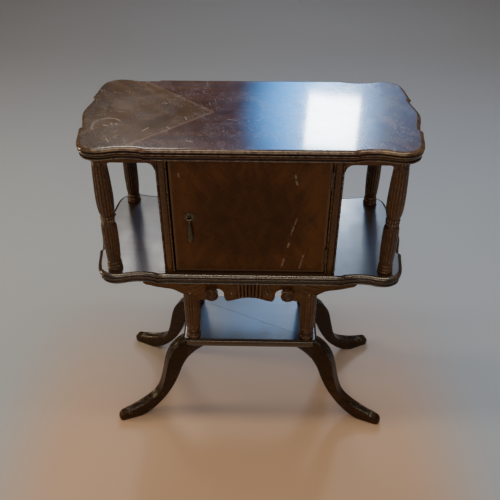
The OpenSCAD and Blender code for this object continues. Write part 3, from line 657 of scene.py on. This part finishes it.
def swell(z0, z1, base, out, n=7):
    """Half-round ring between two heights"""
    return ring_rows(z0, z1, base, out, n, 0.6, PLAIN, 0.35)


def carved(z0, z1, base, out):
    """Ring cut into small leaves"""
    return ring_rows(z0, z1, base, out, 8, 0.5, LEAFY, 0.9)


def reed_rows(z0, z1, radius, sink, n):
    """Reeded stretch whose reeds round off at both ends, where the rows are closer"""
    rows = []
    for i in range(n + 1):
        t = 0.5 - 0.5 * cos(pi * i / n)
        z = z0 + (z1 - z0) * t
        end = min(1.0, min(z - z0, z1 - z) / REED_END)
        drop = sink * (1 - sqrt(max(0.0, 1 - (1 - end) ** 2)))
        rows.append((z, radius(t, z) - drop, REEDED, 0.35 * end, end))
    return rows


def reeded(z0, z1, r0, r1, bulge, n=44):
    return reed_rows(z0, z1, lambda t, z: r0 + (r1 - r0) * t + 4 * bulge * t * (1 - t), 1.5, n)


def vase(z0, z1, *ends):
    """Reeded shaft whose radius follows a curve of [radius, height] points"""
    curve = bezier(*ends, 200) + [ends[-1]]
    return reed_rows(z0, z1, lambda t, z: min(curve, key=lambda p: abs(p[1] - z))[0], 1.2, 44)


def groove(z, r):
    # Grooves darkened fully by grime and painted shade
    return [(z, r, PLAIN, 0.0, 1.0), (z + 0.7, r, PLAIN, 0.0, 1.0)]


def gallery_rows():
    return (
        swell(0, 5.5, 13.2, 15) + groove(5.9, 12.8) + swell(7, 11.5, 12.8, 14.6) + groove(11.9, 11.6)
        + swell(13.2, 18.6, 11.8, 13.6) + groove(19, 11.2) + reeded(20.2, 107.5, 13, 14.4, 1.3)
        + groove(108.2, 11) + swell(109.3, 111.6, 11.2, 12.6, 4) + carved(112, 117.6, 11.4, 13.4)
        + groove(118.1, 11) + carved(119.2, 125.2, 11.4, 13.8) + groove(125.9, 11.4)
        + vase(127.5, 236.5, (12.8, 127.5), (17.8, 141), (17.4, 171), (13.5, 236.5)) + groove(237.4, 12)
        + swell(238.6, 240.8, 12.2, 13.4, 4) + carved(241.2, 247.6, 12.2, 14.2)
        + [(248.2, 13.2, 0, 0, 0.6), (252, 13.4, 0, 0, 0)]
    )


def pedestal_rows():
    return (
        swell(0, 7.5, 14.6, 16.2) + groove(8, 14) + swell(9.2, 12.2, 14, 15.4, 5)
        + groove(12.5, 12.9) + [(16, 12.5, 0, 0, 0.2), (18.2, 12.9, 0, 0, 0)]
        + swell(18.8, 24, 13.2, 15.2) + groove(24.4, 13.6) + swell(25.4, 36.5, 13.8, 16.2, 10)
        + groove(37, 14.2) + reeded(38.4, 205, 16.6, 15.6, 1, 56) + groove(205.8, 14)
        + swell(207, 210, 14.4, 15.8, 5) + groove(210.4, 14.2) + swell(211.4, 217, 14.8, 16.8)
        + [(218, 16.4, 0, 0, 0), (223, 16.6, 0, 0, 0)]
    )


def column_mesh(name, rows, reeds):
    """Turned column from rows of height, radius, kind, lightening by rubbing and painted highlight, and a
    last value: the depth of reeded rows, elsewhere darkening by grime and painted shade
    """
    per_reed = 10
    n = reeds * per_reed
    points = []
    for z, r, kind, wear_and_highlight, depth in rows:
        for j in range(n):
            crest = abs(sin(pi * j / per_reed))
            cut, high, grime_and_shade = 0.0, 1.0, depth
            if kind == REEDED:
                cut, high, grime_and_shade = 2.0 * depth * (1 - crest ** 0.55), crest, 0.0
            elif kind == LEAFY:
                cut, high = 1.5 * (1 - crest ** 0.5), crest
            a = 2 * pi * j / n
            # The hollows between reeds and between leaves darkened by grime and painted shade
            grime_and_shade = max(grime_and_shade, 0.9 * (1 - high) ** 2)
            points.append(((r - cut) * cos(a), (r - cut) * sin(a), z, wear_and_highlight * high ** 2, grime_and_shade))
    return build_mesh(name, points, loft_faces(len(rows), n), 0)


def make_columns(kind, rows, reeds, material):
    shared = column_mesh(kind + "_shape", rows, reeds)
    for corner, _, _ in CORNERS:
        node = f"{kind}_{corner}"
        lo, hi = mm_box(node)
        tenon = (hi.z - lo.z - rows[-1][0]) / 2
        foot = Vector(((lo.x + hi.x) / 2, (lo.y + hi.y) / 2, lo.z + tenon))
        me = shared.copy()
        me.transform(Matrix.Translation(foot * MM))
        add_piece("reeded_" + node, me, material, node)


# ---- Legs and tray ----

LEG_COS, LEG_SIN = cos(radians(23)), sin(radians(23))
TOE = (308.0, 133.0)
LEG_END = 175.0
HALF_LEG, HALF_TOE, TOE_ROUND, KNEE = 12.5, 9.5, 9.0, 100.0
# The point of the upper contour where the toe is foremost, and the rings along a leg
TIP, LEG_STEPS = 8, 96
TOE_BAND, FLUTE_START, FLUTE_END, TOE_HEIGHT = 24.0, 28.0, 66.0, 45.0


def leg_contours(tray_top, tray_under):
    """Upper and lower edge of a leg as distance from the toe and height"""
    top = ((10, 0), (-3.5, 1), (-3.2, 15), (9, 21.5), (22, 25.5), (40, 28), (57.5, 36), (77.5, 45),
           (93.5, 52), (103.5, 68), (113.5, 86), (118.5, 116), (126.5, 150), (133.5, 180), (147.5, 203),
           (LEG_END, tray_top))
    under = ((52.5, 0), (79.5, 8), (101.5, 31), (115.5, 47), (137.5, 72), (150.5, 104), (158.5, 127),
             (167.5, 148), (179.5, 162), (196.5, 171), (216, 180), (242, 188), (262, tray_under))
    return joined(top, 16, 12, 14, 18, 24), joined(under, 16, 16, 14, 14)


def half_width(t):
    if t < TOE_ROUND:
        return HALF_TOE - TOE_ROUND + sqrt(max(0.0, TOE_ROUND ** 2 - (TOE_ROUND - t) ** 2))
    return HALF_TOE + (HALF_LEG - HALF_TOE) * min(1.0, (t - TOE_ROUND) / (KNEE - TOE_ROUND))


# Across the leg's upper face: share of the half width, drop below the contour, lightening by rubbing and
# painted highlight, darkening by grime and painted shade
BEADED = (
    (1.00, 3.4, 0, 0.1), (0.985, 2.1, 0.1, 0), (0.94, 0.9, 0.4, 0), (0.87, 0.15, 0.8, 0),
    (0.79, 0.1, 0.8, 0), (0.72, 0.7, 0.3, 0.1), (0.67, 1.5, 0, 1), (0.61, 0.8, 0.2, 0.2),
    (0.54, 0.15, 0.8, 0), (0.46, 0.2, 0.8, 0), (0.39, 0.9, 0.2, 0.2), (0.34, 1.6, 0, 1),
    (0.26, 0.9, 0.2, 0.1), (0.13, 0.4, 0.3, 0), (0, 0.25, 0.4, 0),
)


def relief_gain(t, z):
    """How strongly the beads show: fully by the tray and behind the toe, faintly between"""
    if t < 19:
        return 0.15
    if z < TOE_HEIGHT:
        return 0.9
    return 0.35 + 0.65 * min(1.0, max(0.0, (z - 95) / 55))


def leg_rings(tray_top, tray_under):
    """Rings across a leg, each point as along, height, across, lightening by rubbing and painted highlight,
    and darkening by grime and painted shade, and those of its bracket
    """
    top, under = leg_contours(tray_top, tray_under)
    upper = arc_sample(top[TIP:], LEG_STEPS)
    cut = next(i for i, p in enumerate(under) if p[0] >= LEG_END)
    lower = arc_sample(top[TIP::-1] + under[:cut] + [(LEG_END, under[cut][1])], LEG_STEPS)
    across = list(BEADED) + [(-a, h, w, d) for a, h, w, d in reversed(BEADED[:-1])]
    rings = []
    for (t1, z1), (t0, z0) in zip(upper, lower):
        span = Vector((t1 - t0, z1 - z0))
        size = span.length
        way = span / size if size > 1e-6 else Vector((0, 1))
        ease = min(1.0, size / 14)
        gain = relief_gain(t1, z1)
        near_toe = 1.0 if z1 < TOE_HEIGHT else 0.0
        band = exp(-((t1 - TOE_BAND) / 2.2) ** 2) * near_toe
        flute = min(1.0, max(0.0, (t1 - FLUTE_START) / 3), max(0.0, (FLUTE_END - t1) / 12)) * near_toe
        ring = []
        for a, h, w, d in across:
            edge = 3.4 * max(0.0, (abs(a) - 0.86) / 0.14) ** 2
            hollow = 1.0 - min(1.0, abs(a) / 0.5) ** 2
            rim = exp(-((abs(a) - 0.6) / 0.12) ** 2)
            drop = (edge + (h - edge) * gain) * ease - 1.0 * band * (abs(a) < 0.99)
            p = Vector((t1, z1)) - way * (drop + flute * (1.6 * hollow - 0.3 * rim))
            # The toe band and the flutes' rims are lightened as painted highlight, the flutes' hollows
            # darkened by grime and painted shade
            ring.append((p.x, p.y, a * half_width(p.x), min(1.0, w * gain * gain + band + flute * rim),
                         min(1.0, d * gain + flute * hollow)))
        # Down one side, across the underside and up the other side
        flank = ((0.75, 1.0), (0.5, 1.01), (0.25, 1.0), (0.1, 0.985))
        sides = [[(t0 + span.x * b, z0 + span.y * b, sign * k * half_width(t0 + span.x * b), 0.0, 0.0)
                  for b, k in flank] for sign in (-1, 1)]
        ring += sides[0]
        for a, lift in ((-0.93, 0.6), (-0.6, 0.0), (0.0, 0.0), (0.6, 0.0), (0.93, 0.6)):
            p = Vector((t0, z0)) + way * min(lift, size * 0.2)
            ring.append((p.x, p.y, a * half_width(p.x), 0.1, 0.0))
        rings.append(ring + sides[1][::-1])
    bracket = []
    for t, z in [(LEG_END, under[cut][1])] + under[cut:]:
        low = min(z, tray_under - 0.3)
        side = low + min(1.5, (tray_under - low) * 0.4)
        steps = ((tray_under, 0), (side, 0.05), (low, 1.1))
        half = [(t, h, HALF_LEG - narrower, 0, 0) for h, narrower in steps]
        mirrored = [(t, h, -u, 0, 0) for _, h, u, _, _ in half]
        bracket.append([half[0]] + mirrored + half[:0:-1])
    return rings, bracket


def make_legs(material):
    lo, hi = mm_box("tray_board")
    rings, bracket = leg_rings(hi.z, lo.z)
    faces = loft_faces(len(rings), len(rings[0]))
    faces += loft_faces(len(bracket), len(bracket[0]), len(rings) * len(rings[0]))
    for corner, sx, sy in CORNERS:
        points = [(sx * (TOE[0] - t * LEG_COS + u * LEG_SIN), sy * (TOE[1] - t * LEG_SIN - u * LEG_COS),
                   max(0.0, z), w, d) for ring in rings + bracket for t, z, u, w, d in ring]
        add_mesh(f"carved_leg_{corner}", points, faces, 55, material, f"leg_{corner}")


# Tray edge from the flat downwards: [inset, depth, lightening by rubbing and painted highlight, darkening by
# grime and painted shade]
TRAY_EDGE = (
    (7, 0, 0, 0), (5.2, 0, 0.1, 0), (4.6, 0.3, 0.3, 0.2), (4.3, 1, 0, 1), (4.2, 2.2, 0, 1),
    (3.3, 2.7, 0.3, 0.2), (2, 3.1, 0.7, 0), (0.9, 4.3, 0.7, 0), (0.25, 6, 0.5, 0), (0, 8.5, 0.3, 0),
    (0, 11.5, 0.2, 0), (0.4, 14, 0.1, 0), (1.4, 16.2, 0, 0.1), (2.6, 17.4, 0, 0.8), (2.9, 18.4, 0, 0.9),
    (2.3, 18.9, 0.2, 0.2), (2.4, 19.6, 0.1, 0), (3.4, 20, 0, 0), (6, 20, 0, 0),
)


def make_tray(material):
    lo, hi = mm_box("tray_board")

    def corner(s):
        u = s * HALF_LEG
        return TOE[0] - LEG_END * LEG_COS + u * LEG_SIN, TOE[1] - LEG_END * LEG_SIN - u * LEG_COS

    side, front = corner(1), corner(-1)
    points = []
    for d_in, depth, wear_and_highlight, grime_and_shade in TRAY_EDGE:
        k = d_in / (front[1] - side[1])
        f = (front[0] + (side[0] - front[0]) * k, front[1] - d_in)
        k = d_in / (side[0] - front[0])
        s = (side[0] - d_in, side[1] + (front[1] - side[1]) * k)
        half = [s, f] + [(-x, y) for x, y in (f, s)]
        ring = half + [(-x, -y) for x, y in half]
        points += [(x, y, hi.z - depth, wear_and_highlight, grime_and_shade) for x, y in ring]
    faces = loft_faces(len(TRAY_EDGE), 8)
    add_mesh("moulded_tray", points, faces, 38, material, "tray_board", slot="mahogany_polished")


# ---- Stiles with beaded corners ----

BEAD, BEAD_START, BEAD_PITCH, FIELD_START, QUIRK = 3.3, 0.35, 4.4, 4.3, 3.1


def stile_face(u, half, swing):
    """Sink, lightening, and darkening by grime and painted shade at u from the stile's edge, where swing is
    the bead's fullness at this height
    """
    if u < BEAD_START + 0.01 or BEAD_START + BEAD - 0.01 < u < FIELD_START - 0.01:
        return QUIRK, 0.0, 0.8
    if u <= BEAD_START + BEAD + 0.01:
        v = (u - BEAD_START - BEAD / 2) / (BEAD / 2 + 0.01)
        sink = QUIRK - 2.9 * sqrt(max(0.0, 1 - v * v)) * (0.25 + 0.75 * swing)
        return sink, swing, 0.9 * (1 - swing)
    v = (half - u) / (half - FIELD_START)
    return 2.2 * v * v, 0.25 * (1 - v * v), 0.5 * v ** 8


def make_stile(node, material):
    """Stile whose face is a shallow round between two rows of small beads"""
    lo, hi = mm_box(node)
    sy = -1 if lo.y < 0 else 1
    face, back = (lo.y, hi.y) if sy < 0 else (hi.y, lo.y)
    width = hi.x - lo.x
    xs = {0.0, round(width, 4)}
    for start in (BEAD_START, width - BEAD_START - BEAD):
        xs |= {round(start + BEAD * i / 8, 4) for i in range(9)}
    xs |= {round(FIELD_START + (width - 2 * FIELD_START) * i / 12, 4) for i in range(13)}
    xs = sorted(xs)
    rows = int((hi.z - lo.z) / BEAD_PITCH * 8)
    points = []
    for i in range(rows + 1):
        z = lo.z + (hi.z - lo.z) * i / rows
        swing = abs(sin(pi * (z - lo.z) / BEAD_PITCH)) ** 0.6
        for x in xs:
            sink, wear_and_highlight, grime_and_shade = stile_face(min(x, width - x), width / 2, swing)
            points.append((lo.x + x, face - sy * sink, z, wear_and_highlight, grime_and_shade))
        points += [(hi.x, back, z, 0, 0), (lo.x, back, z, 0, 0)]
    add_mesh("beaded_" + node, points, loft_faces(rows + 1, len(xs) + 2), 60, material, node)


# ---- Plain pieces with softened edges ----

EASED_ANGLE = radians(38)


def softened(node, material, width=1.0, slot="mahogany_carved", body="table"):
    """The CAD node's own shape with its sharp edges eased"""
    source = frame["nodes"][node]
    bm = bmesh.new()
    bm.from_mesh(source.data)
    bmesh.ops.remove_doubles(bm, verts=bm.verts, dist=1e-6)
    bmesh.ops.dissolve_limit(bm, angle_limit=radians(0.5), verts=bm.verts, edges=bm.edges)
    me = bpy.data.meshes.new("eased_" + node)
    bm.to_mesh(me)
    bm.free()
    me.materials.clear()
    ob = add_piece("eased_" + node, me, material, node, slot=slot, body=body)
    bevel = ob.modifiers.new("ease", "BEVEL")
    bevel.width = width * MM
    bevel.segments = 3
    bevel.limit_method = "ANGLE"
    bevel.angle_limit = EASED_ANGLE
    bevel.harden_normals = True
    me.shade_smooth()
    me.set_sharp_from_angle(angle=EASED_ANGLE)


# ---- Carving of the frieze ----

# The fan's reeds, the size of its cells and a height just under its foot
REEDS, FAN_STEP_X, FAN_STEP_Z, FAN_FOOT = 7, 0.35, 0.9, 385


def make_fan(side, sy, material):
    """Reeded panel on the frieze's face, its reeds spreading a little towards the top"""
    node = f"fan_carving_{side}"
    lo, hi = mm_box(node)
    base, proud = min(abs(lo.y), abs(hi.y)), abs(hi.y - lo.y)
    width = hi.x - lo.x
    nx, nz = int(width / FAN_STEP_X), int((hi.z - FAN_FOOT) / FAN_STEP_Z)
    points = []
    for i in range(nx + 1):
        x = -width / 2 + width * i / nx
        low = 392.0 - 2.0 * abs(x) / 25
        for j in range(nz + 1):
            z = low + (hi.z - low) * j / nz
            spread = 1 - 0.10 * ((z - low) / (hi.z - low) - 0.5)
            crest = abs(cos(pi * REEDS * x * spread / width))
            end = min(1.0, (z - low) / 5.0, (hi.z - z) / 3.0)
            round_end = sqrt(max(0.0, 1 - (1 - end) ** 2))
            out = 0.8 + (proud - 0.8) * crest ** 0.6 * round_end
            # Reed crests lightened a little, the hollows between them darkened by grime and painted shade
            points.append((x, sy * (base + out), z, 0.35 * crest ** 3, 0.7 * (1 - crest) ** 2))
    rows = nz + 1
    faces = [(i * rows + k, i * rows + k + 1, (i + 1) * rows + k + 1, (i + 1) * rows + k)
             for i in range(nx) for k in range(nz)]
    # Close the back with a copy of the rim on the frieze's face
    rim = (list(range(rows)) + [i * rows + nz for i in range(1, nx + 1)]
           + [nx * rows + k for k in range(nz - 1, -1, -1)] + [i * rows for i in range(nx - 1, 0, -1)])
    start, n = len(points), len(rim)
    points += [(points[r][0], sy * base, points[r][2], 0.0, 0.5) for r in rim]
    faces += [(rim[i], rim[(i + 1) % n], start + (i + 1) % n, start + i) for i in range(n)]
    faces.append(tuple(range(start, start + n)))
    add_mesh("reeded_" + node, points, faces, 60, material, node)


def scroll_rows(radius, proud):
    """A scroll from the frieze outwards: radius, how proud and how much it is rubbed; None stands for the
    spiral face
    """
    roll = ((0.93, 0, 0), (0.90, 0.25, 0.1), (0.90, 0.45, 0.2), (0.95, 0.62, 0.5), (0.995, 0.74, 0.8),
            (1, 0.82, 0.9))
    rows = [(radius * r, proud * out, wear_and_highlight) for r, out, wear_and_highlight in roll]
    rows += [(radius - 1.6 + 1.6 * cos(a), proud * 0.82 + 1.6 * sin(a), 0.8)
             for a in (0.5, 1.0, 1.4)]
    return rows + [(radius * (0.86 - 0.86 * i / 26), None, 0.3) for i in range(27)]


def make_volutes(side, sy, material):
    """Two rolled scrolls: a domed face with a spiral groove and a waisted roll behind it"""
    node = f"volutes_{side}"
    lo, hi = mm_box(node)
    radius, mid_z = (hi.z - lo.z) / 2, (hi.z + lo.z) / 2
    base, proud = min(abs(lo.y), abs(hi.y)), abs(hi.y - lo.y)
    rows = scroll_rows(radius, proud)
    n = 72
    for label, s in SIDES:
        cx = s * (max(abs(lo.x), abs(hi.x)) - radius)
        points = []
        for r, out, rub_and_highlight in rows:
            rim = max(r, 0.02)
            for j in range(n):
                a = 2 * pi * j / n
                if out is None:
                    wave = 0.5 + 0.5 * cos(2 * pi * (r / radius * 3.1 - s * a / (2 * pi)))
                    dome = proud * (0.80 + 0.17 * (1 - (r / radius) ** 2))
                    h = dome - 1.5 * (1 - wave) ** 1.5 * min(1.0, r / 2.0)
                    # The spiral's crest lightened, its groove darkened by grime and painted shade
                    wear_and_highlight, grime_and_shade = 0.7 * wave ** 2, 0.9 * (1 - wave) ** 2
                else:
                    # The roll's upper side is lightened as a painted highlight; its front rows are a little
                    # rubbed too
                    h, grime_and_shade = out, 0.0
                    wear_and_highlight = max(rub_and_highlight * 0.3, min(1.0, 1.6 * sin(a)))
                points.append((cx + rim * cos(a), sy * (base + h), mid_z + rim * sin(a),
                               wear_and_highlight, grime_and_shade))
        # One scroll stands for the node that holds both
        nodes = [node] if s < 0 else []
        add_mesh(f"scroll_{side}_{label}", points, loft_faces(len(rows), n), 0, material, *nodes)


# Right half of the frieze's lower edge, as joined cubic curves in X and Z
FRIEZE_HALF = (
    (0, 390), (18, 390), (30, 382.5), (44, 379.7), (50, 380), (51.5, 390), (51.5, 400), (52, 407), (60, 414),
    (69, 412), (71, 402), (75, 391), (84, 385), (88, 381), (94, 380.5), (99, 382), (112, 388), (122, 395),
    (134, 398.5), (142, 402), (146, 409), (160, 411.5), (178, 413.5), (190, 417), (198, 419.5),
)


def tube(name, path, radius, material, sides, squash=1.0):
    """Half-buried bead along a path in the plane of the frieze"""
    points = []
    n = len(path)
    out = Vector((0, 1, 0))
    for i, p in enumerate(path):
        along = Vector(path[min(n - 1, i + 1)]) - Vector(path[max(0, i - 1)])
        across = along.normalized().cross(out).normalized()
        taper = min(1.0, (min(i, n - 1 - i) + 0.6) / 4)
        for j in range(sides):
            t = 2 * pi * j / sides
            q = Vector(p) + (across * cos(t) + out * sin(t) * squash) * radius * taper
            points.append((*q, 0.6, 0))
    add_mesh(name, points, loft_faces(n, sides), 0, material)


# Strokes of the leaves in X and Z: two beside the fan, three further out
LEAVES = (
    ((31, 430), (38, 424), (42, 406), (46, 388)), ((28.5, 428), (31, 418), (33, 404), (37, 388)),
    ((96, 426), (112, 426), (128, 416), (148, 418)), ((96, 417), (106, 415), (118, 405), (132, 408)),
    ((97, 408), (103, 406), (108, 398), (114, 396)),
)
NAILS = ((-120, 400), (120, 400), (-36, 401), (36, 401))
# Nail head from the frieze outwards: how proud and radius
NAIL_ROWS = ((0.0, 1.5), (0.3, 1.5), (0.65, 1.15), (0.85, 0.5))


def make_frieze_trim(side, sy, material, steel):
    """Raised bead along the shaped lower edge, leaf strokes beside the fan, and old nail heads"""
    lo, hi = mm_box(f"frieze_{side}")
    face = max(abs(lo.y), abs(hi.y))
    half = joined(FRIEZE_HALF, *[9] * (len(FRIEZE_HALF) // 3))
    middle = [p for p in half if p[0] < 49]
    outer = [p for p in half if p[0] > 98]
    for label, line in (("middle", [(-x, z) for x, z in reversed(middle)] + middle[1:]),
                        ("left", [(-x, z) for x, z in outer]), ("right", outer)):
        raised = arc_sample([(x, z + 2.0) for x, z in line], 90)
        tube(f"frieze_bead_{side}_{label}", [(x, sy * face, z) for x, z in raised], 1.1, material, 8)
    for label, s in SIDES:
        for k, leaf in enumerate(LEAVES):
            path = [(s * x, sy * face, z) for x, z in bezier(*leaf, 16)]
            tube(f"leaf_{side}_{label}_{k}", path, 2.1 - 0.3 * (k % 2), material, 10, 0.8)
    points, faces, n = [], [], 12
    turns = [2 * pi * j / n for j in range(n)]
    for x, z in NAILS:
        faces += loft_faces(len(NAIL_ROWS), n, len(points))
        points += [(x + r * cos(a), sy * (face + h), z + r * sin(a), 0, 0)
                   for h, r in NAIL_ROWS for a in turns]
    add_mesh(f"nail_heads_{side}", points, faces, 40, steel, slot="steel")


# ---- Pull ----

def make_rosette(material):
    """Round back plate with a beaded rim and a petalled boss"""
    lo, hi = mm_box("pull_rosette")
    cx, cz = (lo.x + hi.x) / 2, (lo.z + hi.z) / 2
    radius, thick = (hi.x - lo.x) / 2, hi.y - lo.y
    n = 144
    rows = [(1.0, 0.0), (1.0, 0.25), (0.97, 0.36), (0.92, 0.44), (0.87, 0.38), (0.83, 0.24), (0.79, 0.22)]
    rows += [(0.75 - 0.05 * i, 0.30 + 0.42 * sin(pi * i / 11)) for i in range(11)]
    rows += [(0.19, 0.95), (0.16, 1.0), (0.155, 0.1)]
    beads, petals, groove_rows = range(2, 5), range(7, 17), (5, 6)
    points = []
    for i, (r, h) in enumerate(rows):
        for j in range(n):
            a = 2 * pi * j / n
            petal = abs(sin(6 * a))
            k = h
            if i in beads:
                k = h * (0.62 + 0.38 * abs(sin(18 * a)))
            elif i in petals:
                k = h * (0.55 + 0.45 * petal ** 0.6)
            grime_and_shade = 0.8 if i in groove_rows else 0.5 * (1 - petal) ** 2 * (i in petals)
            points.append((cx + radius * r * cos(a), hi.y - thick * k, cz + radius * r * sin(a),
                           min(1.0, 1.2 * k), grime_and_shade))
    faces = loft_faces(len(rows), n)
    add_mesh("rosette", points, faces, 60, material, "pull_rosette", slot="aged_brass", body="door")


# ---- Everything together ----

make_camera()
make_lights()

RED = [(0.0, (0.036, 0.013, 0.003)), (0.5, (0.092, 0.036, 0.009)), (1.0, (0.165, 0.070, 0.020))]
BROWN = [(0.0, (0.012, 0.005, 0.0012)), (0.5, (0.030, 0.012, 0.003)), (1.0, (0.062, 0.027, 0.008))]
PALE = [(0.0, (0.070, 0.034, 0.014)), (0.5, (0.130, 0.068, 0.031)), (1.0, (0.210, 0.120, 0.060))]
carved_z = wood("carved_mahogany_upright", RED, "Z", (0.20, 0.34), worn_and_highlight_colour=(0.50, 0.37, 0.25))
carved_x = wood("carved_mahogany_long", RED, "X", (0.20, 0.34), worn_gain=0.5)
carved_y = wood("carved_mahogany_deep", RED, "Y", (0.20, 0.34), worn_gain=0.5)
# The legs' greenish-grey pale colour is the painted highlight of the toes and edges
leg_wood = wood("leg_mahogany", BROWN, "X", (0.20, 0.30), coat=0.12, worn_and_highlight_colour=(0.30, 0.28, 0.22), scale=0.8,
                specular=0.16)
shelf_wood = wood("polished_mahogany", BROWN, "X", (0.30, 0.40), coat=0.3, scale=0.8, worn_gain=0.3,
                  specular=0.9, edge_gloss=True)
panel_wood = wood("panel_veneer_wood", BROWN, "Z", (0.26, 0.42), coat=0.3)
plain = wood("secondary_wood", PALE, "X", (0.5, 0.7), coat=0.0)
top_wood = top_veneer("inlaid_top_veneer")
door_lo, door_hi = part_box("door_veneer_corners")
door_middle = ((door_lo.x + door_hi.x) / 2, 0.0, (door_lo.z + door_hi.z) / 2)
flame = door_veneer("flame_veneer_wood", (0.034, 0.010, 0.002), (0.058, 0.018, 0.004),
                    (0.110, 0.038, 0.009), door_middle, False)
dark_veneer = door_veneer("diamond_veneer_wood", (0.028, 0.008, 0.002), (0.054, 0.017, 0.004),
                          (0.100, 0.035, 0.009), door_middle, True)
brass = metal("aged_brass_metal", (0.15, 0.125, 0.085), (0.040, 0.036, 0.026), (0.20, 0.42))
steel = metal("dull_steel_metal", (0.52, 0.50, 0.46), (0.26, 0.22, 0.18), (0.25, 0.5))

BY_SLOT = {"mahogany_polished": shelf_wood, "mahogany_carved": carved_z, "flame_veneer": flame,
           "diamond_veneer": dark_veneer, "panel_veneer": panel_wood, "plain_wood": plain,
           "aged_brass": brass, "steel": steel}
slots = {row["node"]: row["material_slot"] for row in frame["record"]["subparts"]}
for node, ob in frame["nodes"].items():
    ob.data.materials.clear()
    ob.data.materials.append(BY_SLOT[slots[node]])

make_board("moulded_top", "top_board", top_wood)
make_board("moulded_shelf", "shelf_board", shelf_wood)
make_tray(shelf_wood)
make_legs(leg_wood)
make_columns("gallery_column", gallery_rows(), 16, carved_z)
make_columns("pedestal_column", pedestal_rows(), 18, carved_z)
for corner, _, _ in CORNERS:
    make_stile(f"stile_{corner}", carved_z)
    softened(f"gallery_rail_{corner}", carved_x)
for side, _ in SIDES:
    softened(f"gallery_rail_end_{side}", carved_y)
    softened(f"frieze_end_{side}", carved_y)
    softened(f"side_panel_{side}", panel_wood, 0.6, "panel_veneer")
softened("back_panel", panel_wood, 0.6, "panel_veneer")
softened("door_core", plain, 0.5, "plain_wood", "door")
for side, sy in ENDS:
    softened(f"frieze_{side}", carved_x, 1.2)
    make_fan(side, sy, carved_z)
    make_volutes(side, sy, carved_x)
    make_frieze_trim(side, sy, carved_x, steel)
make_rosette(brass)

floor = add_object("floor", bpy.data.meshes.new("floor"))
floor.data.from_pydata([(-9, -9, 0), (9, -9, 0), (9, 9, 0), (-9, 9, 0)], [], [(0, 1, 2, 3)])
floor.data.materials.append(floor_material())
